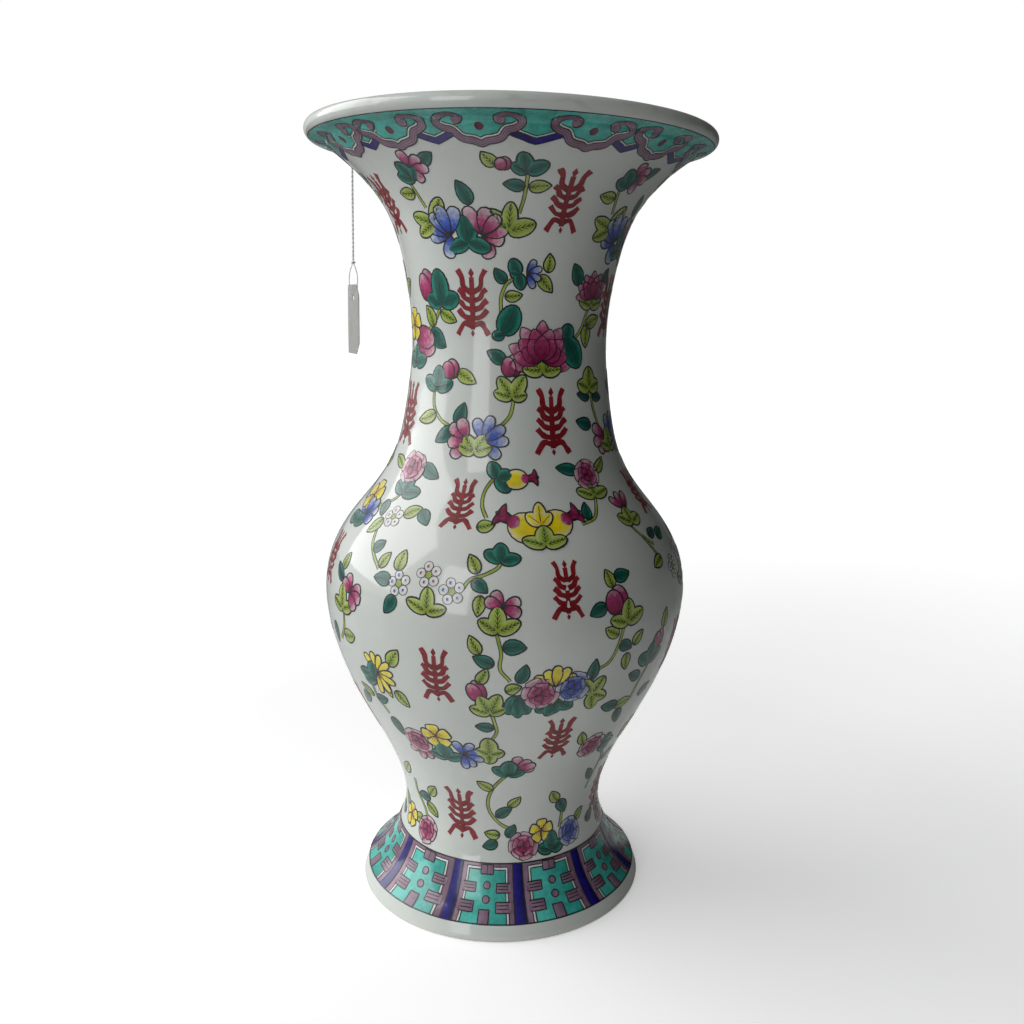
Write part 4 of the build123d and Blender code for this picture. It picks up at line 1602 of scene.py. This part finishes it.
for colour, finish in finishes.items():
    gathered = []
    for group in places:
        if (colour, group) not in strokes:
            continue
        holder = flatObject(colour, group)
        holder.data = shaped(wrapTree, holder, {
            "Spots": spotObjects[group],
            "Outline": outlineObject,
            "Unit": enamel["unit"],
            "Hand": 0.0 if group == "rings" else 2 * enamel["hand"],
            "Material": finish,
        })
        gathered.append(holder)
    piece = gathered[0]
    with bpy.context.temp_override(active_object=piece, selected_editable_objects=gathered, object=piece):
        if len(gathered) > 1:
            bpy.ops.object.join()
    piece.name = colour + "Enamel"
    piece.data.name = colour + "Enamel"
    if "stretch" in piece.data.attributes:
        piece.data.attributes.remove(piece.data.attributes["stretch"])
    piece.data.shade_smooth()
    piece.data.set_sharp_from_angle(angle=math.radians(50))
    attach(piece, "vase")
    print(piece.name, len(piece.data.polygons), "faces")
for spots in spotObjects.values():
    bpy.data.objects.remove(spots)
bpy.data.objects.remove(outlineObject)

# tape patch: paper tape with a crease that takes in the string's end
tapeTones = [(0.3, (0.58, 0.50, 0.36)), (0.75, (0.72, 0.65, 0.50))]
tapeGrain, tapeRelief = (350, 6, (1, 1, 0.35)), (900, 5, (1, 1, 0.2))
tapeFinish = mottledFinish("paperTape", 0.75, tapeTones, tapeGrain, tapeRelief, 0.15 * mm, 0.8)
tape = {
    "width": 14 * mm,
    "over": 5 * mm,
    "thick": 0.35 * mm,
    "adhesive": 0.1 * mm,
    "run": 2.5 * mm,  # below the string's end, where the crease runs out
    "clear": 0.9 * mm,  # from the string's middle to the tape over it
    "rows": 44,
    "columns": 41,
}
tapeLow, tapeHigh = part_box("tape_patch")
alongString = stringPath[np.argsort(stringPath[:, 2])]
alongString = alongString[alongString @ np.array(outwards) < mouthRadius - 8 * mm]


def tapePiece():
    heights = np.linspace(tapeLow.z, tapeHigh.z + tape["over"], tape["rows"])
    offsets = np.linspace(-0.5, 0.5, tape["columns"]) * tape["width"]
    stringReach = np.interp(heights, alongString[:, 2], alongString @ np.array(outwards))
    points = []
    for face in (0, 1):
        for height, reach in zip(heights, stringReach):
            radius = innerRadius(height)
            slope = (innerRadius(height + mm) - innerRadius(height - mm)) / (2 * mm)
            square = math.hypot(1, slope)
            taken = float(np.clip((height - stringPath[0][2]) / tape["run"] + 1, 0, 1))
            lifted = taken * max(0.0, (radius - reach) / square + tape["clear"])
            for offset in offsets:
                ridge = lifted * math.exp(-((offset / (1.5 * mm)) ** 2))
                wrinkle = 0.12 * mm * (1 + math.sin(offset * 1900 + 3 * math.sin(height * 700)))
                curl = 0.5 * mm * max(0.0, abs(2 * offset / tape["width"]) - 0.86) / 0.14
                depth = tape["adhesive"] + wrinkle + curl + ridge + face * tape["thick"]
                angle = stringAngle + offset / radius
                inwards = radius - depth / square
                lift = depth * slope / square
                points.append((inwards * math.cos(angle), inwards * math.sin(angle), height + lift))
    return meshFrom("tapePatch", points, padFaces(tape["rows"], tape["columns"]))


tapeMesh = tapePiece()
tapeMesh.materials.append(tapeFinish)
tapeMesh.shade_smooth()
tapeMesh.set_sharp_from_angle(angle=math.radians(50))
tapePatch = addObject("tapePatch", tapeMesh)
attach(tapePatch, "vase")
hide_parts("tape_patch")

# string's finish, knot, loop and ticket
cottonTones = [(0.3, (0.80, 0.79, 0.75)), (0.7, (0.90, 0.90, 0.88))]
cotton = mottledFinish("cottonString", 0.85, cottonTones, (2600, 5), (4200, 4), 0.12 * mm, 0.9, sheen=0.4)
ticketString.data.materials.append(cotton)

ticket = {
    "facing": 115.0,  # the card's plane, counter-clockwise from +X
    "strand": 0.4,
    "knot": 0.37,  # size of the knot's bights
}
knotCentre = stringPoint((hang, string["knot"]))
facing = math.radians(ticket["facing"])
squareWay = Vector((math.sin(facing), -math.cos(facing), 0))
cardWay = Vector((math.cos(facing), math.sin(facing), 0))
loopHalf = [(0.4, -0.8), (2.5, -5.5), (2.8, -11.5), (2.5, -17.5), (1.2, -21.3)]
loopOffsets = loopHalf + [(-x, y) for x, y in loopHalf[::-1]]
loopPoints = [knotCentre + squareWay * x * mm + Vector((0, 0, y * mm)) for x, y in loopOffsets]
loopPath = evenly(nurbsPath("loopRoute", loopPoints), 0.5 * mm)
turns = np.linspace(0, 2 * math.pi, 120)
knotPath = np.stack([
    (2.1 + np.cos(3 * turns)) * np.cos(2 * turns),
    (2.1 + np.cos(3 * turns)) * np.sin(2 * turns),
    1.5 * np.sin(3 * turns),
], 1) * ticket["knot"] * mm + np.array(knotCentre)
loopShapes = [
    tube(loopPath, 0.22 * mm, cardWay, sides=6, offset=0.18 * mm, pitch=2.2 * mm, phase=phase)
    for phase in (0, math.pi)
]
loopShapes.append(tube(knotPath, ticket["strand"] * mm, (0, 0, 1)))
ticketLoop = addObject("ticketLoop", joined("ticketLoop", loopShapes))
ticketLoop.data.materials.append(cotton)
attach(ticketLoop, "ticket")
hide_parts("string_eye")

cardFinish, cardTree, cardShader = newFinish("ticketCard", 0.62)
fibre = noiseOf(cardTree, 700, 6, (1, 1, 0.4), 0.4)
# painted shade: the card gets a mid grey, the shade of a pale card hanging in shade, mottled by its fibre
cardFibreAndShade = ramp(cardTree, fibre, [(0.3, (0.30, 0.30, 0.29)), (0.7, (0.40, 0.40, 0.385))])
stain = between(cardTree, noiseOf(cardTree, 60, 4), 0.55, 0.75, 0, 0.35)
cardTree.links.new(mixed(cardTree, stain, cardFibreAndShade, (0.27, 0.25, 0.21)), cardShader.inputs["Base Color"])
bumped(cardTree, cardShader, noiseOf(cardTree, 1500, 5), 0.1 * mm, 0.5)
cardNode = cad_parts["ticket_card"]
cardNode.data.materials.clear()
cardNode.data.materials.append(cardFinish)

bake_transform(ticketString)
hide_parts("string_over_lip", "string_drop")
print("ticket hung")

# floor and light
bpy.context.scene.view_settings.view_transform = "Standard"
floorFinish, floorTree, floorShader = newFinish("floor", 0.7, Specular_IOR_Level=0.1)
seen = floorTree.nodes.new("ShaderNodeLightPath").outputs["Is Camera Ray"]
pale = ramp(floorTree, noiseOf(floorTree, 3, 3), [(0.3, (0.88, 0.88, 0.88)), (0.7, (0.91, 0.91, 0.91))])
reachNode = addNode(floorTree, "ShaderNodeVectorMath", {0: objectPlace(floorTree)}, operation="LENGTH")
fromMiddle = reachNode.outputs["Value"]
# painted bounce light: for all rays but the camera's the floor is near white close to the vase and dark grey
# further off, so only the floor near the vase lights it from below
paintedBounceFade = between(floorTree, fromMiddle, 0.15, 0.7, 0.0, 1.0)
paintedBounce = mixed(floorTree, paintedBounceFade, (0.95, 0.95, 0.95), (0.3, 0.3, 0.3))
floorTree.links.new(mixed(floorTree, seen, paintedBounce, pale), floorShader.inputs["Base Color"])
# painted light: the floor glows for the camera alone, weakest round the vase and stronger further off, so it
# reads white away from the vase
paintedFloorGlow = between(floorTree, fromMiddle, 0.35, 2.0, 0.38, 0.95)
floorTree.links.new(times(floorTree, seen, paintedFloorGlow), floorShader.inputs["Emission Strength"])
floorShader.inputs["Emission Color"].default_value = (1, 1, 1, 1)
floorMesh = meshFrom("floor", [(-9, -9, 0), (9, -9, 0), (9, 9, 0), (-9, 9, 0)], [(0, 1, 2, 3)])
floorMesh.materials.append(floorFinish)
floor = addObject("floor", floorMesh)

# a white backdrop, in a room that is bright to the left and dim to the right
world = bpy.data.worlds.new("studio")
world.use_nodes = True
bpy.context.scene.world = world
worldTree = world.node_tree
worldShader = worldTree.nodes["Background"]
away = vectorParts(worldTree, worldTree.nodes.new("ShaderNodeTexCoord").outputs["Generated"])
toRight = between(worldTree, away[0], -1.0, 0.5, 0.0, 1.0)
room = mixed(worldTree, toRight, (0.72, 0.74, 0.73), (0.02, 0.02, 0.018))
seen = worldTree.nodes.new("ShaderNodeLightPath").outputs["Is Camera Ray"]
worldTree.links.new(mixed(worldTree, seen, room, (1.0, 1.0, 1.0)), worldShader.inputs["Color"])
worldShader.inputs["Strength"].default_value = 1.0

lights = {
    "sideWindow": {"place": (-1.9, 0.2, 1.3), "size": (2.2, 2.0), "power": 33, "target": (0, 0, 0.1)},
    "frontWindow": {"place": (-0.80, -1.45, 0.75), "size": (0.6, 1.3), "power": 5.7, "target": (0, 0, 0.15)},
}
for name, setting in lights.items():
    lamp = bpy.data.lights.new(name, "AREA")
    lamp.shape = "RECTANGLE"
    lamp.size, lamp.size_y = setting["size"]
    lamp.energy = setting["power"]
    holder = addObject(name, lamp)
    holder.location = setting["place"]
    aim = Vector(setting["target"]) - Vector(setting["place"])
    holder.rotation_euler = aim.to_track_quat("-Z", "Y").to_euler()

print("done")
